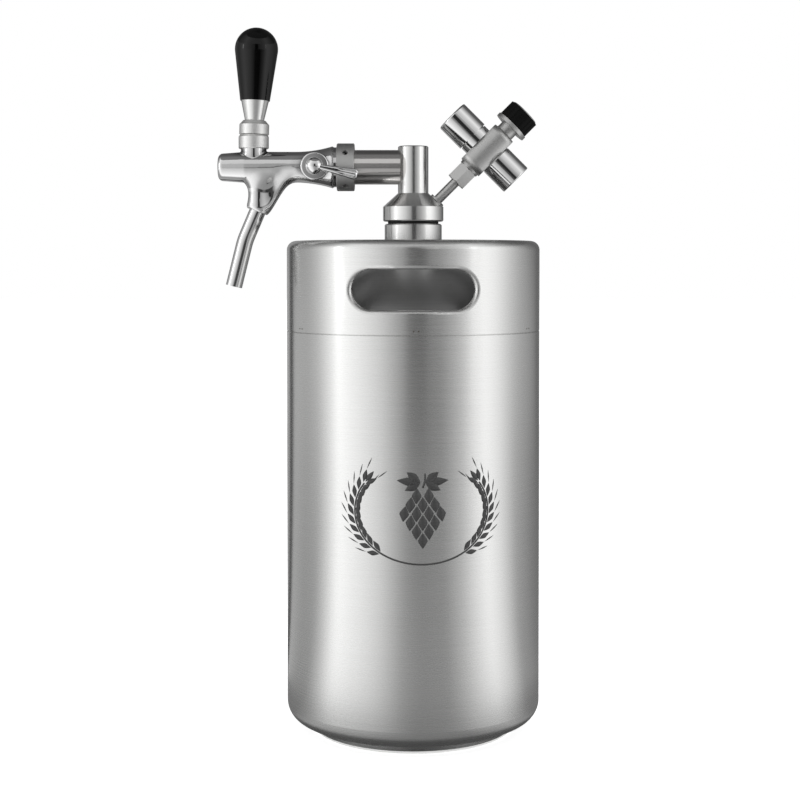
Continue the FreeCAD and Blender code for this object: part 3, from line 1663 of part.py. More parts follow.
make_base_cap()
make_outer_jacket()
make_inner_vessel()
make_shoulder_dome()
make_neck_ring()
make_handle_ring()
make_head_body()
make_neck_gasket()
make_stem()
make_dip_tube()
make_dip_seal()
make_relief_valve()
make_shank()
make_shank_washer()
make_coupling_nut()
make_tap_body()
make_spout()
make_bonnet_nut()
make_ball_washer()
make_lever_ball()
make_lever_collar()
make_handle_ferrule()
make_tap_handle()
make_valve_shaft()
make_valve_seal()
make_flow_gland()
make_flow_lever()
make_flow_compensator()
make_gas_tube()
make_regulator_nut()
make_regulator_body()
make_piston()
make_regulator_spring()
make_spring_carriage()
make_knob_core()
make_knob_grip()
make_gauge_stem()
make_gauge_case()
make_gauge_dial()
make_gauge_needle()
make_gauge_lens()
make_cartridge_socket()
make_piercing_pin()
make_cartridge_seal()

doc.recompute()
failed = [item.Name for item in doc.Objects if {"Invalid", "Error"} & set(item.State)]
if failed:
    raise RuntimeError("these objects failed: " + ", ".join(failed))
os.makedirs("parts", exist_ok=True)
for node in NODES:
    if node.Shape.isNull() or not node.Shape.isValid():
        raise RuntimeError(node.Label + " has no valid shape")
    node.Shape.exportStep(f"parts/{node.Label}.step")
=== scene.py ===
import math

import bmesh
import bpy
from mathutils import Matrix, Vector


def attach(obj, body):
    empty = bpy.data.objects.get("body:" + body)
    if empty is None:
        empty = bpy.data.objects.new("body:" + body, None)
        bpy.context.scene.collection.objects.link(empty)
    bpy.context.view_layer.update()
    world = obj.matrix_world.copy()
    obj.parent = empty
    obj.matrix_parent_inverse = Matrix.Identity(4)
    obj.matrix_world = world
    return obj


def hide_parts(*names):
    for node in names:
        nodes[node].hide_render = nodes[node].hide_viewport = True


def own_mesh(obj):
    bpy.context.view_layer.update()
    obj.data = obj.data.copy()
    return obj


# Mini keg beer dispenser: the finishes of its metal, rubber and plastic pieces, the forged tap and
# flow lever, the small details that ride on the pieces, and the studio round them. Everything is
# in metres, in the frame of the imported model: origin under the keg on its axis, +Z up, the tap
# towards -X, the front towards -Y.

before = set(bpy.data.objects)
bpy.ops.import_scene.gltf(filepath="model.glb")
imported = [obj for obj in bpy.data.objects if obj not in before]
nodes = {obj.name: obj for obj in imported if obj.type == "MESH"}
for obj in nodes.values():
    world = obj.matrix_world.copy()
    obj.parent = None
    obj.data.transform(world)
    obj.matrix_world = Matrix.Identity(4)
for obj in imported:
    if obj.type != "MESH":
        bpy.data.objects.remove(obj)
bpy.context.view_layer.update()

MM = 0.001
SHARP_EDGE = 32  # degrees between two faces from which an edge stays crisp

# ---------------------------------------------------------------- places on the object

KEG_AXIS = Vector((0, 0, 1))
TAP_AXIS = Vector((-1, 0, 0))
REGULATOR_AXIS = Vector((1, 0, 1)).normalized()
GAUGE_AXIS = Vector((-1, 0, 1)).normalized()
KEG_RADIUS = 85.0 * MM
SEAM_HEIGHT = 268.0 * MM
TAP_HEIGHT = 377.7 * MM
REGULATOR_ROOT = Vector((0, 0, 339.3 * MM))
PORT_CENTRE = REGULATOR_ROOT + REGULATOR_AXIS * (70.0 * MM)
HANDLE_PIVOT = Vector((-107.4 * MM, 0, 392.1 * MM))
HANDLE_LEAN = math.radians(1.8)
HANDLE_AXIS = Vector((math.sin(HANDLE_LEAN), 0, math.cos(HANDLE_LEAN)))


# ---------------------------------------------------------------- node and colour helpers


def linear(code):
    """An sRGB hex colour, such as C8C6C2, as linear RGBA."""
    channels = [int(code[place:place + 2], 16) / 255 for place in (0, 2, 4)]
    curve = [c / 12.92 if c <= 0.04045 else ((c + 0.055) / 1.055) ** 2.4 for c in channels]
    return (*curve, 1.0)


WHITE = linear("FFFFFF")


def add(tree, kind, inputs=None, **settings):
    """Add a node with its settings; inputs maps a socket to a value or to another node's output."""
    made = tree.nodes.new(kind)
    for name, value in settings.items():
        setattr(made, name, value)
    for socket, value in (inputs or {}).items():
        if isinstance(value, bpy.types.NodeSocket):
            tree.links.new(value, made.inputs[socket])
        else:
            made.inputs[socket].default_value = value
    return made


def bare_material(name):
    """A material without nodes; gives the material and its tree."""
    material = bpy.data.materials.new(name)
    material.use_nodes = True
    material.node_tree.nodes.clear()
    return material, material.node_tree


def new_material(name, colour, metallic, roughness, **sockets):
    """A Principled material with its plain values; gives the material, its tree and its shader."""
    material, tree = bare_material(name)
    material.diffuse_color = linear(colour)
    values = {"Base Color": linear(colour), "Metallic": metallic, "Roughness": roughness}
    values.update({name.replace("_", " "): value for name, value in sockets.items()})
    shader = add(tree, "ShaderNodeBsdfPrincipled", values)
    add(tree, "ShaderNodeOutputMaterial", {"Surface": shader.outputs["BSDF"]})
    return material, tree, shader


def ranged(tree, value, low, high):
    """Map a 0 to 1 pattern onto the range low to high."""
    return add(tree, "ShaderNodeMapRange", {
        "Value": value, "To Min": low, "To Max": high,
    }).outputs["Result"]


def tinted(tree, pattern, dark, light):
    """A colour between two sRGB colours, led by a 0 to 1 pattern."""
    return add(tree, "ShaderNodeMix", {
        "Factor": pattern, 6: linear(dark), 7: linear(light),
    }, data_type="RGBA").outputs[2]


def place_of(tree):
    """The point on the surface, in the object's own rest frame, in metres."""
    return add(tree, "ShaderNodeTexCoord").outputs["Object"]


def clouds(tree, size, detail=2.0):
    """Soft uneven patches, about a size in metres across."""
    return add(tree, "ShaderNodeTexNoise", {
        "Vector": place_of(tree), "Scale": 1 / size, "Detail": detail,
    }).outputs["Fac"]


def grooves(tree, axis, pitch, run):
    """Fine turned or brushed lines across an axis: pitch apart along it, each one run long."""
    along = add(tree, "ShaderNodeVectorMath", {0: place_of(tree), 1: axis}, operation="DOT_PRODUCT")
    stretch = add(tree, "ShaderNodeVectorMath", {
        0: axis, "Scale": along.outputs["Value"],
    }, operation="SCALE")
    stretched = add(tree, "ShaderNodeVectorMath", {
        0: stretch.outputs["Vector"], "Scale": run / pitch,
    }, operation="SCALE")
    point = add(tree, "ShaderNodeVectorMath", {
        0: place_of(tree), 1: stretched.outputs["Vector"],
    }, operation="ADD")
    return add(tree, "ShaderNodeTexNoise", {
        "Vector": point.outputs["Vector"], "Scale": 1 / run, "Detail": 3.0, "Roughness": 0.65,
    }).outputs["Fac"]


def round_tangent(tree, axis, centre):
    """Direction round an axis, which lathe marks follow, as the shader's tangent."""
    arm = add(tree, "ShaderNodeVectorMath", {0: place_of(tree), 1: centre}, operation="SUBTRACT")
    round_way = add(tree, "ShaderNodeVectorMath", {
        0: axis, 1: arm.outputs["Vector"],
    }, operation="CROSS_PRODUCT")
    world = add(tree, "ShaderNodeVectorTransform", {
        "Vector": round_way.outputs["Vector"],
    }, vector_type="VECTOR", convert_from="OBJECT", convert_to="WORLD")
    return add(tree, "ShaderNodeVectorMath", {
        0: world.outputs["Vector"],
    }, operation="NORMALIZE").outputs["Vector"]


def bumped(tree, shader, pattern, depth, strength=1.0):
    """Feed a pattern to the shader's normal as relief of a depth in metres."""
    bump = add(tree, "ShaderNodeBump", {
        "Height": pattern, "Distance": depth, "Strength": strength,
    })
    tree.links.new(bump.outputs["Normal"], shader.inputs["Normal"])


# ---------------------------------------------------------------- materials

MARK_RUN = 60 * MM  # how long one brushed or turned mark is
QUARTER_TURN = 0.25  # turns the glints across the marks
RECESS_SHADE_REACH = 9 * MM  # how far off a wall still makes a recess for the painted shade
SHADE_DARKEST_OPENNESS, SHADE_FREE_OPENNESS = 0.8, 0.97  # openness at which the painted shade in a recess is darkest, and at which it is gone


def lathed_metal(name, dark, light, axis, centre, pitch, roughness, spread, depth=0.004 * MM):
    """Metal with marks round an axis: glints stretch across the marks, and the tone wavers."""
    material, tree, shader = new_material(
        name, light, 1.0, roughness, Anisotropic=spread, Anisotropic_Rotation=QUARTER_TURN)
    marks = grooves(tree, axis, pitch, MARK_RUN)
    tree.links.new(tinted(tree, marks, dark, light), shader.inputs["Base Color"])
    rough = ranged(tree, marks, roughness * 0.85, roughness * 1.15)
    tree.links.new(rough, shader.inputs["Roughness"])
    tree.links.new(round_tangent(tree, axis, centre), shader.inputs["Tangent"])
    bumped(tree, shader, marks, depth)
    return material


def make_brushed_shell():
    # 304 stainless sheet, belt-brushed round the keg: glints run up and down, faint level lines
    return lathed_metal("brushed_stainless", "D6D6D5", "E4E4E3", KEG_AXIS, Vector((0, 0, 0)),
                        0.5 * MM, 0.27, 0.8, 0.0005 * MM)


def make_spun_dome():
    # spun stainless, left satin: softer than the brushed shell; its colour is also darker than the
    # shell's, which is painted shade, as the dome sits down in the ring's slot
    return lathed_metal("spun_stainless_painted_shade", "A2A2A2", "B6B6B6", KEG_AXIS, Vector((0, 0, 0)),
                        0.8 * MM, 0.42, 0.7)


def make_turned_head():
    # stainless turned on a lathe about the keg's axis: crisp upright bands of light
    return lathed_metal("turned_stainless", "DEDEDD", "E8E8E7", KEG_AXIS, Vector((0, 0, 0)),
                        0.25 * MM, 0.22, 0.85, 0.001 * MM)


def make_turned_shank():
    # stainless turned about the tap's axis: level bands of light
    return lathed_metal("turned_stainless_shank", "D8D6D4", "E4E2E0", TAP_AXIS,
                        Vector((0, 0, TAP_HEIGHT)), 0.25 * MM, 0.2, 0.85, 0.001 * MM)


def make_satin_nickel(name, axis, centre, roughness):
    # satin nickel plate over turned brass: soft even grey
    return lathed_metal(name, "BCBCBB", "CACAC9", axis, centre, 0.3 * MM, roughness, 0.4,
                        0.002 * MM)


def make_pearl_chrome():
    # chrome plate over bead-blasted brass, called pearl chrome: pale, soft and even
    return lathed_metal("pearl_chrome_lever", "E6E6E5", "F0F0EF", HANDLE_AXIS, HANDLE_PIVOT,
                        0.3 * MM, 0.46, 0.3, 0.002 * MM)


def make_turned_ferrule():
    # stainless turned about the handle's axis: upright bands of light with a dark line
    return lathed_metal("turned_stainless_ferrule", "E0E0DF", "EAEAE9", HANDLE_AXIS, HANDLE_PIVOT,
                        0.25 * MM, 0.2, 0.6, 0.001 * MM)


def polished_chrome(name, axis):
    """Chrome plate with faint polishing marks; gives the material, its tree and its shader."""
    material, tree, shader = new_material(name, "E4E4E4", 1.0, 0.07)
    marks = grooves(tree, axis, 0.6 * MM, 20 * MM)
    tree.links.new(ranged(tree, marks, 0.05, 0.1), shader.inputs["Roughness"])
    bumped(tree, shader, marks, 0.0003 * MM)
    return material, tree, shader


def make_chrome(name, axis):
    # bright chrome plate: nearly a mirror
    return polished_chrome(name, axis)[0]


def make_tap_chrome():
    # bright chrome plate on a forging, with painted shade: its colour darkens to near black in the
    # recesses, led by ambient occlusion
    material, tree, shader = polished_chrome("chrome_plate_tap_painted_shade", TAP_AXIS)
    openness = add(tree, "ShaderNodeAmbientOcclusion", {"Distance": RECESS_SHADE_REACH},
                   samples=12, only_local=True)
    # painted shade: the base colour goes from chrome to near black where walls close round the
    # surface
    painted_recess_shade = add(tree, "ShaderNodeMapRange", {
        "Value": openness.outputs["AO"], "From Min": SHADE_DARKEST_OPENNESS, "From Max": SHADE_FREE_OPENNESS,
    })
    tree.links.new(tinted(tree, painted_recess_shade.outputs["Result"], "1C1C1C", "E4E4E4"),
                   shader.inputs["Base Color"])
    return material


def make_black_handle():
    # glossy black phenolic: deep black with a polished skin and slight moulding waves
    material, tree, shader = new_material("black_phenolic", "030303", 0.0, 0.09, IOR=1.38)
    waves = clouds(tree, 6 * MM)
    tree.links.new(ranged(tree, waves, 0.07, 0.11), shader.inputs["Roughness"])
    bumped(tree, shader, waves, 0.004 * MM)
    return material


def make_black_grip():
    # black anodised aluminium, bead blasted before dyeing: matte with a fine grain
    material, tree, shader = new_material("black_anodised", "030303", 0.0, 0.55, IOR=1.25)
    grain = clouds(tree, 0.4 * MM)
    tree.links.new(ranged(tree, grain, 0.48, 0.62), shader.inputs["Roughness"])
    bumped(tree, shader, grain, 0.01 * MM)
    return material


def make_seal_rubber():
    # moulded nitrile rubber: matte black with a dusty grain
    material, tree, shader = new_material("nitrile_rubber", "161616", 0.0, 0.7, IOR=1.52)
    grain = clouds(tree, 0.6 * MM, 3.0)
    tree.links.new(tinted(tree, grain, "121212", "1E1E1E"), shader.inputs["Base Color"])
    bumped(tree, shader, grain, 0.02 * MM)
    return material


def make_brass():
    # turned brass: warm yellow, with bands of light along the axis
    return lathed_metal("turned_brass", "B08C48", "C6A25C", REGULATOR_AXIS, REGULATOR_ROOT,
                        0.3 * MM, 0.3, 0.6)


def make_spring_wire():
    # drawn spring steel, grey with a slight oil film
    return lathed_metal("spring_steel", "7E7E80", "96969A", REGULATOR_AXIS, REGULATOR_ROOT,
                        0.4 * MM, 0.35, 0.3)


def make_dial_enamel():
    # white baked enamel on the dial: warm white with a soft sheen
    material, tree, shader = new_material("dial_enamel", "EDECE6", 0.0, 0.4, IOR=1.5)
    cloud = clouds(tree, 5 * MM)
    tree.links.new(tinted(tree, cloud, "E8E7E0", "F0EFEA"), shader.inputs["Base Color"])
    return material


def make_needle_paint():
    # black needle paint: even and half matt
    material, tree, shader = new_material("needle_paint", "111111", 0.0, 0.45, IOR=1.5)
    grain = clouds(tree, MM)
    tree.links.new(ranged(tree, grain, 0.4, 0.5), shader.inputs["Roughness"])
    return material


def make_lens():
    # clear acrylic window: see-through, with a faint haze
    material, tree, shader = new_material(
        "clear_acrylic", "FFFFFF", 0.0, 0.03, IOR=1.49, Transmission_Weight=1.0)
    haze = clouds(tree, 8 * MM)
    tree.links.new(ranged(tree, haze, 0.02, 0.05), shader.inputs["Roughness"])
    return material


def make_keg_ink():
    # charcoal screen-printing ink on steel: matt, a little uneven where the brushing shows through
    material, tree, shader = new_material("charcoal_screen_ink", "3C3C3C", 0.0, 0.5, IOR=1.5)
    marks = grooves(tree, KEG_AXIS, 0.8 * MM, MARK_RUN)
    tree.links.new(tinted(tree, marks, "343434", "464646"), shader.inputs["Base Color"])
    bumped(tree, shader, marks, 0.01 * MM)
    return material


def make_dial_ink():
    # black pad-printing ink on the dial: matt and crisp
    material, tree, shader = new_material("black_dial_ink", "121212", 0.0, 0.5, IOR=1.5)
    grain = clouds(tree, 0.5 * MM)
    tree.links.new(tinted(tree, grain, "0E0E0E", "1A1A1A"), shader.inputs["Base Color"])
    return material


def make_weld_tint():
    # spot-welded stainless: small heat-tinted marks, darker than the sheet
    material, tree, shader = new_material("heat_tinted_stainless", "6A6660", 1.0, 0.4)
    tint = clouds(tree, 0.5 * MM)
    tree.links.new(tinted(tree, tint, "55524E", "7A766F"), shader.inputs["Base Color"])
    return material


BRUSHED = make_brushed_shell()
SPUN = make_spun_dome()
TURNED = make_turned_head()
SHANK = make_turned_shank()
TAP_CHROME = make_tap_chrome()
FITTING_CHROME = make_chrome("chrome_plate_fittings", TAP_AXIS)
GAUGE_CHROME = make_chrome("chrome_plate_gauge", GAUGE_AXIS)
REGULATOR_NICKEL = make_satin_nickel("satin_nickel_regulator", REGULATOR_AXIS,
                                     REGULATOR_ROOT, 0.42)
PEARL_CHROME = make_pearl_chrome()
FERRULE = make_turned_ferrule()
COUPLING_NICKEL = make_satin_nickel("satin_nickel_coupling", TAP_AXIS,
                                    Vector((0, 0, TAP_HEIGHT)), 0.6)
BLACK_HANDLE = make_black_handle()
BLACK_GRIP = make_black_grip()
RUBBER = make_seal_rubber()
BRASS = make_brass()
SPRING = make_spring_wire()
DIAL = make_dial_enamel()
NEEDLE = make_needle_paint()
LENS = make_lens()
KEG_INK = make_keg_ink()
DIAL_INK = make_dial_ink()
WELD_TINT = make_weld_tint()

FINISHES = {
    BRUSHED: ("base_cap", "outer_jacket", "handle_ring"),
    SPUN: ("shoulder_dome", "inner_vessel"),
    TURNED: ("neck_ring", "head_body", "stem", "dip_tube", "relief_valve", "relief_pull"),
    SHANK: ("shank", "valve_shaft", "flow_compensator"),
    TAP_CHROME: ("tap_body",),
    FITTING_CHROME: ("spout_tube", "flow_gland", "flow_lever", "lever_ball"),
    GAUGE_CHROME: ("gauge_case", "gauge_stem", "cartridge_socket"),
    REGULATOR_NICKEL: ("regulator_body", "regulator_nut", "gas_tube", "knob_core"),
    PEARL_CHROME: ("bonnet_nut", "lever_collar"),
    FERRULE: ("handle_ferrule",),
    COUPLING_NICKEL: ("coupling_nut",),
    BLACK_HANDLE: ("tap_handle",),
    BLACK_GRIP: ("knob_grip",),
    RUBBER: ("neck_gasket", "dip_seal", "shank_washer", "spout_seal", "ball_washer",
             "valve_seal", "cartridge_seal"),
    BRASS: ("regulator_piston", "spring_carriage", "piercing_pin"),
    SPRING: ("regulator_spring",),
    DIAL: ("gauge_dial",),
    NEEDLE: ("gauge_needle",),
    LENS: ("gauge_lens",),
}


def dress_nodes():
    """Give each node of the model its finish and smooth shading between its real edges."""
    for material, names in FINISHES.items():
        for name in names:
            mesh = nodes[name].data
            mesh.materials.clear()
            mesh.materials.append(material)
            mesh.shade_smooth()
            mesh.set_sharp_from_angle(angle=math.radians(SHARP_EDGE))


dress_nodes()

# ---------------------------------------------------------------- helpers for pieces


def heading(angle):
    """Direction on the flat, at an angle from upright, positive to the right."""
    return Vector((math.sin(angle), math.cos(angle)))


def add_leaf(form, placing, root, angle, length, width, belly=1.4):
    """Pointed leaf from its root along a heading; placing puts a flat spot onto the surface."""
    along = heading(angle)
    side = Vector((along.y, -along.x))
    steps = 8
    rows = []
    for step in range(steps + 1):
        part = step / steps
        middle = root + along * (length * part)
        half = width / 2 * (1 - abs(2 * part - 1) ** belly)
        spots = [middle]
        if step not in (0, steps):
            spots = [middle - side * half, middle, middle + side * half]
        rows.append([form.verts.new(placing(spot)) for spot in spots])
    for low, high in zip(rows, rows[1:]):
        for column in range(2):
            lower = low if len(low) == 1 else low[column:column + 2]
            upper = high if len(high) == 1 else high[column:column + 2]
            form.faces.new([*lower, *reversed(upper)])


def add_line(form, placing, spots, width):
    """Printed line of even width through flat spots."""
    rows = []
    for before, spot, after in zip([spots[0], *spots], spots, [*spots[1:], spots[-1]]):
        along = (after - before).normalized()
        side = Vector((along.y, -along.x)) * (width / 2)
        rows.append([form.verts.new(placing(spot - side)), form.verts.new(placing(spot + side))])
    for low, high in zip(rows, rows[1:]):
        form.faces.new([low[0], low[1], high[1], high[0]])


def add_ring_loft(form, rings):
    """Skin closed rings of points, in order, and close both ends."""
    rows = [[form.verts.new(point) for point in ring] for ring in rings]
    count = len(rows[0])
    for low, high in zip(rows, rows[1:]):
        for step in range(count):
            after = (step + 1) % count
            form.faces.new([low[step], low[after], high[after], high[step]])
    form.faces.new(rows[0])
    form.faces.new(list(reversed(rows[-1])))


def finished(name, form, material, body, thickness=0.0, side=1.0, edge_angle=SHARP_EDGE):
    """Turn a bmesh into a piece that rides on a body, with its material.

    A thin print gets its thickness on the outer side, 1, or on both sides alike, 0.
    """
    bmesh.ops.recalc_face_normals(form, faces=form.faces)
    mesh = bpy.data.meshes.new(name)
    form.to_mesh(mesh)
    form.free()
    mesh.materials.append(material)
    mesh.shade_smooth()
    mesh.set_sharp_from_angle(angle=math.radians(edge_angle))
    piece = bpy.data.objects.new(name, mesh)
    bpy.context.scene.collection.objects.link(piece)
    if thickness:
        solid = piece.modifiers.new("thickness", "SOLIDIFY")
        solid.thickness = thickness
        solid.offset = side
    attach(piece, body)
    return piece


# ---------------------------------------------------------------- forged tap, lever and spring

FORGING_GRAIN = 0.45 * MM  # size of the forging's faces
SPOUT_ROOT = Vector((-105.3 * MM, 0, 347.3 * MM))
SPOUT_LEAN = math.radians(23)
SPOUT_KEEP = 5 * MM  # so near the spout's axis nothing is pressed, nor blended round its root
# the groove between the nozzle and its rib, as (x, z) points in mm along its bottom
GROOVE = ((-78.2, 374.5), (-84.2, 373.4), (-87.7, 371.9), (-90.3, 369.6), (-92.5, 365.9),
          (-94.0, 362.1), (-95.5, 358.4), (-96.7, 354.6), (-98.6, 350.1))
GROOVE_DEPTH = 1.6 * MM
GROOVE_SLOPE, GROOVE_BANK = 5.5 * MM, 2.6 * MM  # its width towards the nozzle, towards the rib
GROOVE_START, GROOVE_END = 0.25, 0.4  # shares of its length over which it fades in and out
GROOVE_LEFT, GROOVE_RIGHT = -106 * MM, -74 * MM
FACE_FROM = 2.5 * MM  # only the faces this far from the middle plane are pressed
WALL_FADE = 3 * MM  # thickness of the waterway's wall over which the groove fades in
# the web that closes the gap between nozzle and rib: half its thickness, how far it reaches
# towards the rib, and how far in mm towards the nozzle at each point after the groove's first
WEB_HALF = 5.3 * MM
WEB_TO_RIB = 3.2 * MM
WEB_TO_NOZZLE = (3.0, 4.5, 5.5, 6.0, 5.5, 4.5, 3.0, 2.2)
# the creases are blended in a round zone whose edges come in step by step
BLEND_MIDDLE = Vector((-92 * MM, 0, 359 * MM))
BLEND_REACH = 24 * MM
BLEND_STEPS = 16
BLEND_ROUNDS = 9
BLEND_OUTER_STEP, BLEND_INNER_STEP = 0.7, 0.15  # in mm
SKIN_ROUNDS = 2  # of smoothing over the whole forging

FLOW_PLACE = Vector((-65.5 * MM, 0, TAP_HEIGHT))
FLOW_DROP = math.radians(12)
FLOW_SIDES = 48
FLOW_PIN_OFFSET = 2 * MM
# (distance out from the tap's axis, radius), in mm, of the lever's pin, and of its shaft and dome
FLOW_PIN = ((4.2, 1.25), (7.7, 1.25))
FLOW_HUB = (
    (7.6, 3.4), (16.9, 3.4), (17.1, 5.4), (17.5, 5.8),
    *((17.9 + 5.2 * math.sin(turn * math.pi / 20), 5.9 * math.cos(turn * math.pi / 20))
      for turn in range(10)),
    (23.1, 0.2),
)
# the lever's arm, in mm: where it starts and its length, how far out from the tap's axis its
# middle is, half its thickness at the root, and what its half width gains and its depth loses
ARM_STEPS = 40
ARM_START, ARM_LENGTH = 1.5, 27.5
ARM_OUT = 20.0
ARM_HALF, ARM_WIDENING, ARM_THINNING = 1.75, 1.85, 0.35
FLUTE_DEPTH, FLUTE_PLACE, FLUTE_WIDTH = 0.55, 0.4, 0.16  # in mm; shares of the arm's half width


def held(value):
    """A value kept within 0 to 1."""
    return min(1.0, max(0.0, value))


def groove_spot(path, spot):
    """Nearest place on the groove: its distance, its side (1 the nozzle's, -1 the rib's), and how
    far along the groove it is, from 0 to 1."""
    nearest, side, share = 1.0, -1.0, 0.0
    for count, (start, end) in enumerate(zip(path, path[1:])):
        line = end - start
        part = held((spot - start).dot(line) / line.length_squared)
        away = spot - (start + line * part)
        if away.length < nearest:
            nearest = away.length
            side = -math.copysign(1.0, line.x * away.y - line.y * away.x)
            share = (count + part) / (len(path) - 1)
    return nearest, side, share


def press_groove(form):
    """Press the groove into both faces of the forging: a long slope from the nozzle and a short
    bank up to the rib, shallower where the waterway's wall is thin."""
    path = [Vector((x * MM, z * MM)) for x, z in GROOVE]
    spout_way = Vector((-math.sin(SPOUT_LEAN), 0, -math.cos(SPOUT_LEAN)))
    for vertex in form.verts:
        spot = Vector((vertex.co.x, vertex.co.z))
        if not (GROOVE_LEFT < spot.x < GROOVE_RIGHT and spot.y < TAP_HEIGHT):
            continue
        if abs(vertex.co.y) < FACE_FROM or vertex.normal.y * vertex.co.y <= 0:
            continue
        nearest, side, share = groove_spot(path, spot)
        reach = GROOVE_SLOPE if side > 0 else GROOVE_BANK
        if nearest >= reach:
            continue
        fade = min(1.0, share / GROOVE_START, (1 - share) / GROOVE_END)
        to_axis = vertex.co - SPOUT_ROOT
        wall = (to_axis - spout_way * to_axis.dot(spout_way)).length - SPOUT_KEEP
        depth = GROOVE_DEPTH * (1 - nearest / reach) * fade * held(wall / WALL_FADE)
        vertex.co.y -= math.copysign(depth, vertex.co.y)


def add_web(mesh, to_mesh):
    """Add the web between nozzle and rib to the mesh of the tap body."""
    form = bmesh.new()
    path = [Vector((x * MM, z * MM)) for x, z in GROOVE[1:]]
    rings = []
    neighbours = zip([path[0], *path], path, [*path[1:], path[-1]], WEB_TO_NOZZLE)
    for before, spot, after, to_nozzle in neighbours:
        line = (after - before).normalized()
        side = Vector((-line.y, line.x))
        left, right = spot - side * (to_nozzle * MM), spot + side * WEB_TO_RIB
        rings.append([to_mesh @ Vector((corner.x, depth, corner.y)) for corner, depth in (
            (left, -WEB_HALF), (right, -WEB_HALF), (right, WEB_HALF), (left, WEB_HALF))])
    add_ring_loft(form, rings)
    bmesh.ops.recalc_face_normals(form, faces=form.faces)
    form.from_mesh(mesh)
    form.to_mesh(mesh)
    form.free()


def smooth(form, vertices, rounds):
    """Blend the creases between some of a mesh's points."""
    for turn in range(rounds):
        bmesh.ops.smooth_vert(form, verts=vertices, factor=0.5, use_axis_x=True,
                              use_axis_y=True, use_axis_z=True)


def make_tap_forging():
    """Tap body as it leaves the die: the creases of nozzle, rib and barrel run into each other."""
    mesh = nodes["tap_body"].data.copy()
    add_web(mesh, nodes["tap_body"].matrix_world.inverted())
    source = bpy.data.objects.new("tap_forging_source", mesh)
    bpy.context.scene.collection.objects.link(source)
    source.matrix_world = nodes["tap_body"].matrix_world.copy()
    skin = source.modifiers.new("skin", "REMESH")
    skin.mode = "VOXEL"
    skin.voxel_size = FORGING_GRAIN
    skin.adaptivity = 0.0
    shaped = source.evaluated_get(bpy.context.evaluated_depsgraph_get())
    form = bmesh.new()
    form.from_mesh(shaped.to_mesh())
    form.transform(source.matrix_world)
    shaped.to_mesh_clear()
    bpy.data.objects.remove(source)
    smooth(form, form.verts, SKIN_ROUNDS)
    form.normal_update()
    press_groove(form)
    for step in range(BLEND_STEPS):
        zone = [vertex for vertex in form.verts
                if (vertex.co - BLEND_MIDDLE).length < BLEND_REACH - step * BLEND_OUTER_STEP * MM
                and (vertex.co - SPOUT_ROOT).length > SPOUT_KEEP + step * BLEND_INNER_STEP * MM]
        smooth(form, zone, BLEND_ROUNDS)
    piece = finished("tap_forging", form, TAP_CHROME, "head", edge_angle=180)
    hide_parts("tap_body")


def arm_section(part):
    """The arm's section at a share of its length, as (across, outward) points in mm."""
    # the last twentieth of the arm rounds off into the tip
    round_tip = math.sqrt(max(0.0, 1 - max(0.0, (part - 0.95) / 0.05) ** 2))
    half = (ARM_HALF + ARM_WIDENING * min(1.0, part * 1.12) ** 1.3) * max(round_tip, 0.72)
    depth = (ARM_HALF - ARM_THINNING * part) * max(round_tip, 0.45)
    # the two flutes start half way along and run out just before the tip
    flute = FLUTE_DEPTH * held((part - 0.5) / 0.2) * min(1.0, (1 - part) / 0.06)
    section = []
    for turn in range(FLOW_SIDES):
        angle = math.tau * turn / FLOW_SIDES
        wide, deep = math.cos(angle), math.sin(angle)
        wide = math.copysign(abs(wide) ** 0.8, wide) * half
        dip = flute * sum(math.exp(-((wide / half - place) / FLUTE_WIDTH) ** 2)
                          for place in (FLUTE_PLACE, -FLUTE_PLACE))
        section.append((wide, ARM_OUT + deep * (depth - dip if deep > 0 else depth)))
    return section


def make_flow_lever():
    """Flow lever: domed hub, rounded arm that widens to a fluted tip, shaft and offset pin."""
    along = Vector((math.cos(FLOW_DROP), 0, -math.sin(FLOW_DROP)))
    outward = Vector((0, -1, 0))
    across = outward.cross(along)
    form = bmesh.new()
    for profile, middle in ((FLOW_PIN, FLOW_PLACE + along * FLOW_PIN_OFFSET),
                            (FLOW_HUB, FLOW_PLACE)):
        add_ring_loft(form, [[
            middle + outward * (out * MM)
            + (along * math.cos(math.tau * step / FLOW_SIDES)
               + across * math.sin(math.tau * step / FLOW_SIDES)) * (radius * MM)
            for step in range(FLOW_SIDES)] for out, radius in profile])
    rings = []
    for step in range(ARM_STEPS + 1):
        part = step / ARM_STEPS
        root = FLOW_PLACE + along * ((ARM_START + ARM_LENGTH * part) * MM)
        rings.append([root + across * (wide * MM) + outward * (out * MM)
                      for wide, out in arm_section(part)])
    add_ring_loft(form, rings)
    piece = finished("flow_lever_forging", form, FITTING_CHROME, "flow",
                     edge_angle=50)
    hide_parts("flow_lever")


def make_spring_coil():
    """Regulator spring: a copy of the model's spring, with its own mesh, that rides on the head."""
    mesh = nodes["regulator_spring"].data.copy()
    piece = bpy.data.objects.new("spring_coil", mesh)
    bpy.context.scene.collection.objects.link(piece)
    piece.matrix_world = nodes["regulator_spring"].matrix_world.copy()
    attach(piece, "head")
    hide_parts("regulator_spring")
    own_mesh(piece)


make_tap_forging()
make_flow_lever()
make_spring_coil()

# ---------------------------------------------------------------- print, scale, marks and thread

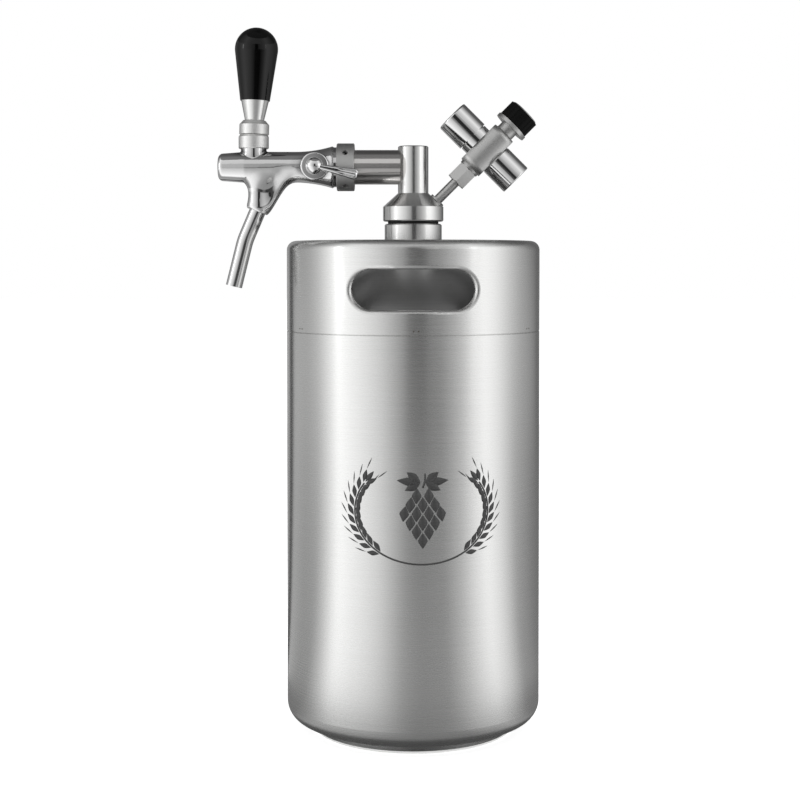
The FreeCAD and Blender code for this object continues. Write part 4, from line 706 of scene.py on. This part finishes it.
INK_THICKNESS = 0.06 * MM
WREATH_MIDDLE = Vector((6 * MM, 158 * MM))
WREATH_REACH = Vector((44 * MM, 33 * MM))
EAR_GRAINS = 10
EAR_FOOT, EAR_START, EAR_END = math.radians(-9), math.radians(38), math.radians(122)
STALK_STEPS = 24
GRAIN_SIZE, AWN_SIZE, TIP_SIZE = (8.4 * MM, 3.2 * MM), (8 * MM, 0.8 * MM), (9 * MM, 3.2 * MM)
GRAIN_LEAN, AWN_LEAN = math.radians(24), math.radians(14)
HOP_RISE = 15 * MM
HOP_SCALE_SIZE = (10.2 * MM, 6.2 * MM)
HOP_STEP_ACROSS, HOP_STEP_DOWN = 7.2 * MM, 5.6 * MM
HOP_LEAVES = ((52, 11), (84, 15), (116, 11))  # degrees from upright and length in mm
# the hop's scales, row by row from the top, as steps to the side
HOP_ROWS = ((-0.5, 0.5), (-1, 0, 1), (-1.5, -0.5, 0.5, 1.5), (-1, 0, 1), (-0.5, 0.5), (0,))
WELD_SPACING = 60  # degrees between two pairs of marks
WELD_SHIFTS = (0.2, 3.4)  # of the two marks of a pair, in mm round the keg
WELD_RISE = 2.7 * MM
WELD_RADIUS = 0.55 * MM
WELD_SIDES = 12
WELD_DOME = ((1.0, 0.0), (0.7, 0.08), (0.35, 0.12))  # share of the radius and height in mm
GAUGE_SWEEP = math.radians(270)
TICKS = 50
LONG_EVERY = 10
ARC_STEPS = 60
# where the ticks start, as a share of the dial's radius, and their widths; where all of them end
LONG_TICK, SHORT_TICK, TICK_OUTER = (0.66, 0.5 * MM), (0.76, 0.25 * MM), 0.88
# thread for the gas cartridge, 24 turns to the inch
THREAD_PITCH = 25.4 / 24 * MM
THREAD_RADIUS = 4.76 * MM
THREAD_START = 1.6 * MM
THREAD_TURNS = 9
THREAD_STEPS = 32  # to a turn
# one section of its ridge: (distance from the socket's axis, mm along it)
THREAD_RIDGE = ((THREAD_RADIUS, -0.42), (THREAD_RADIUS - 0.5 * MM, 0.0), (THREAD_RADIUS, 0.42))


def on_keg(spot, lift=0.0):
    """Point on the keg's wall; the spot is (distance round from the front, height)."""
    turn = spot[0] / KEG_RADIUS
    reach = KEG_RADIUS + lift
    return Vector((reach * math.sin(turn), -reach * math.cos(turn), spot[1]))


def wreath_spot(turn, side):
    """Spot on one side, -1 or 1, of the wreath, at a turn from its foot."""
    return WREATH_MIDDLE + Vector((side * WREATH_REACH.x * math.sin(turn),
                                   -WREATH_REACH.y * math.cos(turn)))


def add_ear(form, side):
    """Barley ear with its stalk and awns, curving up one side of the wreath."""
    stalk = [wreath_spot(EAR_FOOT + (EAR_END - EAR_FOOT) * step / STALK_STEPS, side)
             for step in range(STALK_STEPS + 1)]
    add_line(form, on_keg, stalk, 1.1 * MM)
    for grain in range(EAR_GRAINS):
        turn = EAR_START + (EAR_END - EAR_START) * grain / (EAR_GRAINS - 1)
        spot = wreath_spot(turn, side)
        rise = math.atan2(side * WREATH_REACH.x * math.cos(turn), WREATH_REACH.y * math.sin(turn))
        for lean in (-1, 1):
            angle = rise + lean * GRAIN_LEAN
            root = spot + heading(rise + lean * math.pi / 2) * (0.9 * MM)
            add_leaf(form, on_keg, root, angle, *GRAIN_SIZE)
            awn = root + heading(angle) * (8.8 * MM)
            add_leaf(form, on_keg, awn, rise + lean * AWN_LEAN, *AWN_SIZE)
        if grain == EAR_GRAINS - 1:
            add_leaf(form, on_keg, spot + heading(rise) * MM, rise, *TIP_SIZE)


def add_hop(form):
    """Hop cone of overlapping scales, hung from a stalk between two fans of leaves."""
    top = WREATH_MIDDLE + Vector((0, HOP_RISE))
    for row, columns in enumerate(HOP_ROWS):
        for column in columns:
            root = top + Vector((column * HOP_STEP_ACROSS, -row * HOP_STEP_DOWN))
            add_leaf(form, on_keg, root, math.pi + column * math.radians(-6), *HOP_SCALE_SIZE,
                     belly=1.25)
    stalk = [top + Vector((math.sin(step / 3) * 1.5 * MM, step * 1.5 * MM)) for step in range(7)]
    add_line(form, on_keg, stalk, 1.2 * MM)
    for side in (-1, 1):
        for fan, length in HOP_LEAVES:
            add_leaf(form, on_keg, top + Vector((side * 1.4 * MM, 3.2 * MM)),
                     side * math.radians(fan), length * MM, 5.4 * MM)


def make_keg_print():
    """Printed motif on the keg's front: two barley ears round a hop cone."""
    form = bmesh.new()
    for side in (-1, 1):
        add_ear(form, side)
    add_hop(form)
    for face in form.faces:
        face.normal_update()
        centre = face.calc_center_median()
        if face.normal.dot(Vector((centre.x, centre.y, 0))) < 0:
            face.normal_flip()
    finished("keg_print", form, KEG_INK, "keg", INK_THICKNESS)


def make_weld_marks():
    """Pairs of spot-weld marks round the ring, just above the seam."""
    form = bmesh.new()
    for turn in range(-180, 180, WELD_SPACING):
        for shift in WELD_SHIFTS:
            middle = Vector((KEG_RADIUS * math.radians(turn) + shift * MM,
                             SEAM_HEIGHT + WELD_RISE))
            rings = []
            for part, lift in WELD_DOME:
                rings.append([form.verts.new(on_keg(
                    middle + heading(math.tau * step / WELD_SIDES) * (WELD_RADIUS * part),
                    lift * MM)) for step in range(WELD_SIDES)])
            for outer, inner in zip(rings, rings[1:]):
                for step in range(WELD_SIDES):
                    after = (step + 1) % WELD_SIDES
                    form.faces.new([outer[step], outer[after], inner[after], inner[step]])
            form.faces.new(rings[-1])
    finished("weld_marks", form, WELD_TINT, "keg")


def make_dial_scale():
    """Ticks and arc printed on the gauge's dial, with no figures."""
    points = [vertex.co for vertex in nodes["gauge_dial"].data.vertices]
    level = max(point.dot(GAUGE_AXIS) for point in points)
    reach = max(abs(point.y) for point in points)
    middle = PORT_CENTRE + GAUGE_AXIS * (level - PORT_CENTRE.dot(GAUGE_AXIS))
    upright = Vector((0, 1, 0)).cross(GAUGE_AXIS)

    def on_dial(spot):
        return middle + Vector((0, 1, 0)) * spot[0] + upright * spot[1]

    form = bmesh.new()
    outer = reach * TICK_OUTER
    for tick in range(TICKS + 1):
        ray = heading(GAUGE_SWEEP * (tick / TICKS - 0.5))
        inner, width = LONG_TICK if tick % LONG_EVERY == 0 else SHORT_TICK
        add_line(form, on_dial, [ray * (reach * inner), ray * outer], width)
    arc = [heading(GAUGE_SWEEP * (step / ARC_STEPS - 0.5)) * outer
           for step in range(ARC_STEPS + 1)]
    add_line(form, on_dial, arc, 0.3 * MM)
    finished("dial_scale", form, DIAL_INK, "head", INK_THICKNESS, side=0.0)


def make_socket_thread():
    """Thread ridge inside the cartridge socket."""
    points = [vertex.co for vertex in nodes["cartridge_socket"].data.vertices]
    mouth = max(-point.dot(GAUGE_AXIS) for point in points) + PORT_CENTRE.dot(GAUGE_AXIS)
    form = bmesh.new()
    rows = []
    for step in range(THREAD_STEPS * THREAD_TURNS + 1):
        angle = math.tau * step / THREAD_STEPS
        depth = mouth - THREAD_START - THREAD_PITCH * step / THREAD_STEPS
        out = Vector((0, 1, 0)) * math.cos(angle) + REGULATOR_AXIS * math.sin(angle)
        rows.append([form.verts.new(PORT_CENTRE + out * reach - GAUGE_AXIS * (depth + shift * MM))
                     for reach, shift in THREAD_RIDGE])
    for low, high in zip(rows, rows[1:]):
        for column in range(3):
            after = (column + 1) % 3
            form.faces.new([low[column], low[after], high[after], high[column]])
    form.faces.new(rows[0])
    form.faces.new(rows[-1])
    finished("socket_thread", form, GAUGE_CHROME, "head")


make_keg_print()
make_weld_marks()
make_dial_scale()
make_socket_thread()

# ---------------------------------------------------------------- studio

# A light tent of glowing cloths, each given as (azimuth, brightness) stops. A brightness is what a
# white card there would show. Azimuth counts in degrees from the front, positive to the right.
# The wall is brightest to the left and right of a narrow dark flag.
WALL_CLOTH = (
    (-180, 0.25), (-162, 0.34), (-150, 0.34), (-148, 0.05), (-138, 0.05), (-136, 0.34),
    (-115, 0.34), (-104, 0.44), (-92, 0.7), (-80, 1.1), (-68, 1.35), (-52, 1.1), (-40, 0.9),
    (-28, 0.72), (-17, 0.52), (-9, 0.42), (-6, 0.38), (-4.5, 0.03), (10, 0.02), (13, 0.34),
    (30, 0.6), (42, 0.8), (52, 1.1), (62, 1.35), (74, 1.25), (84, 1.05), (94, 0.8), (110, 0.48),
    (128, 0.24), (150, 0.12), (180, 0.2),
)
# low down the flag is wider, which darkens the middle of the keg
SKIRT_CLOTH = (
    (-180, 0.3), (-162, 0.42), (-150, 0.45), (-148, 0.06), (-138, 0.06), (-136, 0.55),
    (-106, 0.64), (-94, 0.8), (-82, 1.15), (-68, 1.5), (-50, 1.2), (-28, 0.8), (-17, 0.48),
    (-9, 0.28), (-5, 0.08), (22, 0.04), (27, 0.16), (42, 0.5), (54, 1.0), (64, 1.35),
    (76, 1.2), (86, 1.0), (94, 0.86), (110, 0.6), (128, 0.45), (150, 0.14), (180, 0.3),
)
# upright tubes just inside the wall, above the keg: (name, azimuth, width in degrees, brightness)
TUBES = (("tube_left", -70.5, 3, 6.0), ("tube_right", 54.5, 3, 2.8))
TUBE_FOOT, TUBE_TOP = 0.52, 1.1
TUBE_GAP = 0.02
# the rim of the roof is lit at the front and sides, and its middle is dark
RIM_CLOTH = (
    (-180, 0.08), (-120, 0.12), (-90, 0.5), (-60, 1.1), (-25, 0.75), (0, 0.65), (30, 0.65),
    (60, 1.0), (90, 0.5), (120, 0.12), (180, 0.08),
)
ROOF_CLOTH = ((-180, 0.06), (-60, 0.2), (60, 0.2), (180, 0.06))
FLOOR_CLOTH = (
    (-180, 0.24), (-150, 0.4), (-148, 0.06), (-138, 0.06), (-136, 0.5), (-110, 0.36),
    (-92, 0.36), (-80, 0.7), (-66, 1.3), (-40, 1.05), (-28, 0.88), (-9, 0.46), (8, 0.36),
    (26, 0.34), (42, 0.6), (66, 1.2), (80, 0.95), (100, 0.4), (130, 0.24), (180, 0.1),
)
# the keg shades the floor close to its foot
FOOT_CLOTH = (
    (-180, 0.16), (-92, 0.2), (-62, 0.42), (-28, 0.34), (0, 0.24), (30, 0.22), (62, 0.42),
    (92, 0.2), (180, 0.16),
)
FOOT_RADIUS = 0.17
# under the keg's rolled foot hardly any light comes in
CONTACT_CLOTH = ((-180, 0.08), (180, 0.08))
CONTACT_RADIUS = 0.09
TENT_RADIUS = 2.0
SKIRT_HEIGHT = 0.3
WALL_HEIGHT = 1.25
RIM_RADIUS = 0.95
RIM_HEIGHT = 1.7
ROOF_HEIGHT = 2.1
CLOTH_GAP = 2 * MM  # of the low cloths over the floor
CLOTH_EYE = 2 * MM  # radius of the hole in the middle of the round cloths
CLOTH_SIDES = 96
FLOOR_REACH = 12.0
WORLD_LIGHT = 0.5  # the world's brightness as light, where it shows 1
FLOOR_GLOW = 0.82  # what brings the floor's paint up to white where it is seen
OVERHEAD_PLACE, OVERHEAD_TARGET = Vector((0.2, -0.5, 1.9)), Vector((0, 0, 0.2))
OVERHEAD_WIDTH, OVERHEAD_DEPTH, OVERHEAD_WATTS = 1.2, 0.8, 18
CAMERA_PLACE = Vector((0, -1062.9 * MM, 313.8 * MM))
CAMERA_PITCH = math.radians(1.543)
IMAGE_SIZE = 800
FOCAL_PIXELS = 1574.3
AXIS_PIXEL = (413.2, 304.6)  # where the camera's axis meets the image
SENSOR_WIDTH = 36.0


def make_shown_factor(tree):
    """1 for rays that come from the camera, a mirror or glass, 0 for all others."""
    path = add(tree, "ShaderNodeLightPath")
    seen = add(tree, "ShaderNodeMath", {
        0: path.outputs["Is Camera Ray"], 1: path.outputs["Is Glossy Ray"],
    }, operation="MAXIMUM")
    return add(tree, "ShaderNodeMath", {
        0: seen.outputs["Value"], 1: path.outputs["Is Transmission Ray"],
    }, operation="MAXIMUM").outputs["Value"]


def make_world():
    """White to the camera, mirrors and glass; a dimmer white as light."""
    world = bpy.data.worlds.new("studio_world")
    bpy.context.scene.world = world
    world.use_nodes = True
    tree = world.node_tree
    tree.nodes.clear()
    strength = ranged(tree, make_shown_factor(tree), WORLD_LIGHT, 1.0)
    background = add(tree, "ShaderNodeBackground", {"Color": WHITE, "Strength": strength})
    add(tree, "ShaderNodeOutputWorld", {"Surface": background.outputs["Background"]})


def stage_object(name, mesh, material):
    """Put a piece of the studio into the scene with its material."""
    item = bpy.data.objects.new(name, mesh)
    bpy.context.scene.collection.objects.link(item)
    mesh.materials.append(material)
    return item


def unseen(item):
    """Hide a piece of the studio from the camera, and let it cast no shadow."""
    item.visible_camera = False
    item.visible_shadow = False
    return item


def add_glow(tree, colour, strength):
    """Emission of a colour and strength."""
    return add(tree, "ShaderNodeEmission", {"Color": colour, "Strength": strength})


def make_floor():
    """Wide white floor that shows white and keeps the keg's soft shadow."""
    mesh = bpy.data.meshes.new("floor")
    mesh.from_pydata([(across * FLOOR_REACH, along * FLOOR_REACH, 0) for across, along in (
        (-1, -1), (1, -1), (1, 1), (-1, 1))], [], [(0, 1, 2, 3)])
    material, tree = bare_material("white_floor_paint")
    paint = add(tree, "ShaderNodeBsdfDiffuse", {"Color": linear("E6E6E6")})
    glow = add_glow(tree, WHITE, ranged(tree, make_shown_factor(tree), 0.0, FLOOR_GLOW))
    both = add(tree, "ShaderNodeAddShader", {0: paint.outputs["BSDF"], 1: glow.outputs["Emission"]})
    add(tree, "ShaderNodeOutputMaterial", {"Surface": both.outputs["Shader"]})
    stage_object("floor", mesh, material)


def make_cloth(name, stops):
    """Glowing cloth whose brightness changes round the object, by azimuth."""
    material, tree = bare_material(name)
    place = add(tree, "ShaderNodeSeparateXYZ", {"Vector": place_of(tree)})
    front = add(tree, "ShaderNodeMath", {0: place.outputs["Y"], 1: -1.0}, operation="MULTIPLY")
    angle = add(tree, "ShaderNodeMath", {
        0: place.outputs["X"], 1: front.outputs["Value"],
    }, operation="ARCTAN2")
    turn = add(tree, "ShaderNodeMapRange", {
        "Value": angle.outputs["Value"], "From Min": -math.pi, "From Max": math.pi,
    })
    ramp = add(tree, "ShaderNodeValToRGB", {"Fac": turn.outputs["Result"]})
    brightest = max(value for azimuth, value in stops)
    elements = ramp.color_ramp.elements
    while len(elements) < len(stops):
        elements.new(0.5)
    for element, (azimuth, value) in zip(elements, stops):
        element.position = azimuth / 360 + 0.5
        element.color = (value / brightest, value / brightest, value / brightest, 1)
    glow = add_glow(tree, ramp.outputs["Color"], brightest)
    add(tree, "ShaderNodeOutputMaterial", {"Surface": glow.outputs["Emission"]})
    return material


def round_spot(azimuth, radius):
    """The x and y of a spot at an azimuth in radians."""
    return radius * math.sin(azimuth), -radius * math.cos(azimuth)


def make_tent_part(name, profile, stops):
    """Round cloth, turned from a profile of (radius, height) points; the camera doesn't see it."""
    mesh = bpy.data.meshes.new(name)
    form = bmesh.new()
    rings = [[form.verts.new((*round_spot(math.tau * step / CLOTH_SIDES, radius), height))
              for step in range(CLOTH_SIDES)] for radius, height in profile]
    for lower, upper in zip(rings, rings[1:]):
        for step in range(CLOTH_SIDES):
            after = (step + 1) % CLOTH_SIDES
            form.faces.new((lower[step], lower[after], upper[after], upper[step]))
    form.to_mesh(mesh)
    form.free()
    return unseen(stage_object(name, mesh, make_cloth(name + "_cloth", stops)))


def make_tube(name, azimuth, width, brightness):
    """Bright upright strip just inside the wall of the tent."""
    corners = [(*round_spot(math.radians(azimuth + width * side), TENT_RADIUS - TUBE_GAP), height)
               for height in (TUBE_FOOT, TUBE_TOP) for side in (-0.5, 0.5)]
    mesh = bpy.data.meshes.new(name)
    mesh.from_pydata(corners, [], [(0, 1, 3, 2)])
    material, tree = bare_material(name + "_glow")
    glow = add_glow(tree, WHITE, brightness)
    add(tree, "ShaderNodeOutputMaterial", {"Surface": glow.outputs["Emission"]})
    unseen(stage_object(name, mesh, material))


def make_tent():
    """Light tent of wall and roof, tubes, and cloths on the floor that only the metal mirrors."""
    for name, profile, stops in (
            ("tent_skirt", ((TENT_RADIUS, CLOTH_GAP), (TENT_RADIUS, SKIRT_HEIGHT)), SKIRT_CLOTH),
            ("tent_wall", ((TENT_RADIUS, SKIRT_HEIGHT), (TENT_RADIUS, WALL_HEIGHT)), WALL_CLOTH),
            ("tent_rim", ((TENT_RADIUS, WALL_HEIGHT), (RIM_RADIUS, RIM_HEIGHT)), RIM_CLOTH),
            ("tent_roof", ((RIM_RADIUS, RIM_HEIGHT), (CLOTH_EYE, ROOF_HEIGHT)), ROOF_CLOTH)):
        make_tent_part(name, profile, stops)
    for name, outer, inner, stops in (
            ("tent_floor", TENT_RADIUS, FOOT_RADIUS, FLOOR_CLOTH),
            ("tent_foot", FOOT_RADIUS, CONTACT_RADIUS, FOOT_CLOTH),
            ("tent_contact", CONTACT_RADIUS, CLOTH_EYE, CONTACT_CLOTH)):
        cloth = make_tent_part(name, ((outer, CLOTH_GAP), (inner, CLOTH_GAP)), stops)
        cloth.visible_diffuse = False
    for tube in TUBES:
        make_tube(*tube)


def make_softbox():
    """Softbox overhead, which gives the keg its soft shadow; no mirror shows it."""
    light = bpy.data.lights.new("overhead_softbox", "AREA")
    light.shape = "RECTANGLE"
    light.size = OVERHEAD_WIDTH
    light.size_y = OVERHEAD_DEPTH
    light.energy = OVERHEAD_WATTS
    lamp = bpy.data.objects.new("overhead_softbox", light)
    lamp.location = OVERHEAD_PLACE
    lamp.rotation_euler = (OVERHEAD_TARGET - OVERHEAD_PLACE).to_track_quat("-Z", "Y").to_euler()
    lamp.visible_camera = False
    lamp.visible_glossy = False
    bpy.context.scene.collection.objects.link(lamp)


def make_camera():
    """Camera in front of the keg at the height of its carrying ring, tipped slightly down."""
    data = bpy.data.cameras.new("camera")
    data.sensor_width = SENSOR_WIDTH
    data.lens = SENSOR_WIDTH * FOCAL_PIXELS / IMAGE_SIZE
    data.shift_x = (IMAGE_SIZE / 2 - AXIS_PIXEL[0]) / IMAGE_SIZE
    data.shift_y = (AXIS_PIXEL[1] - IMAGE_SIZE / 2) / IMAGE_SIZE
    camera = bpy.data.objects.new("camera", data)
    camera.location = CAMERA_PLACE
    camera.rotation_euler = (math.pi / 2 - CAMERA_PITCH, 0, 0)
    bpy.context.scene.collection.objects.link(camera)
    bpy.context.scene.camera = camera


bpy.context.scene.view_settings.view_transform = "Standard"
make_world()
make_floor()
make_tent()
make_softbox()
make_camera()
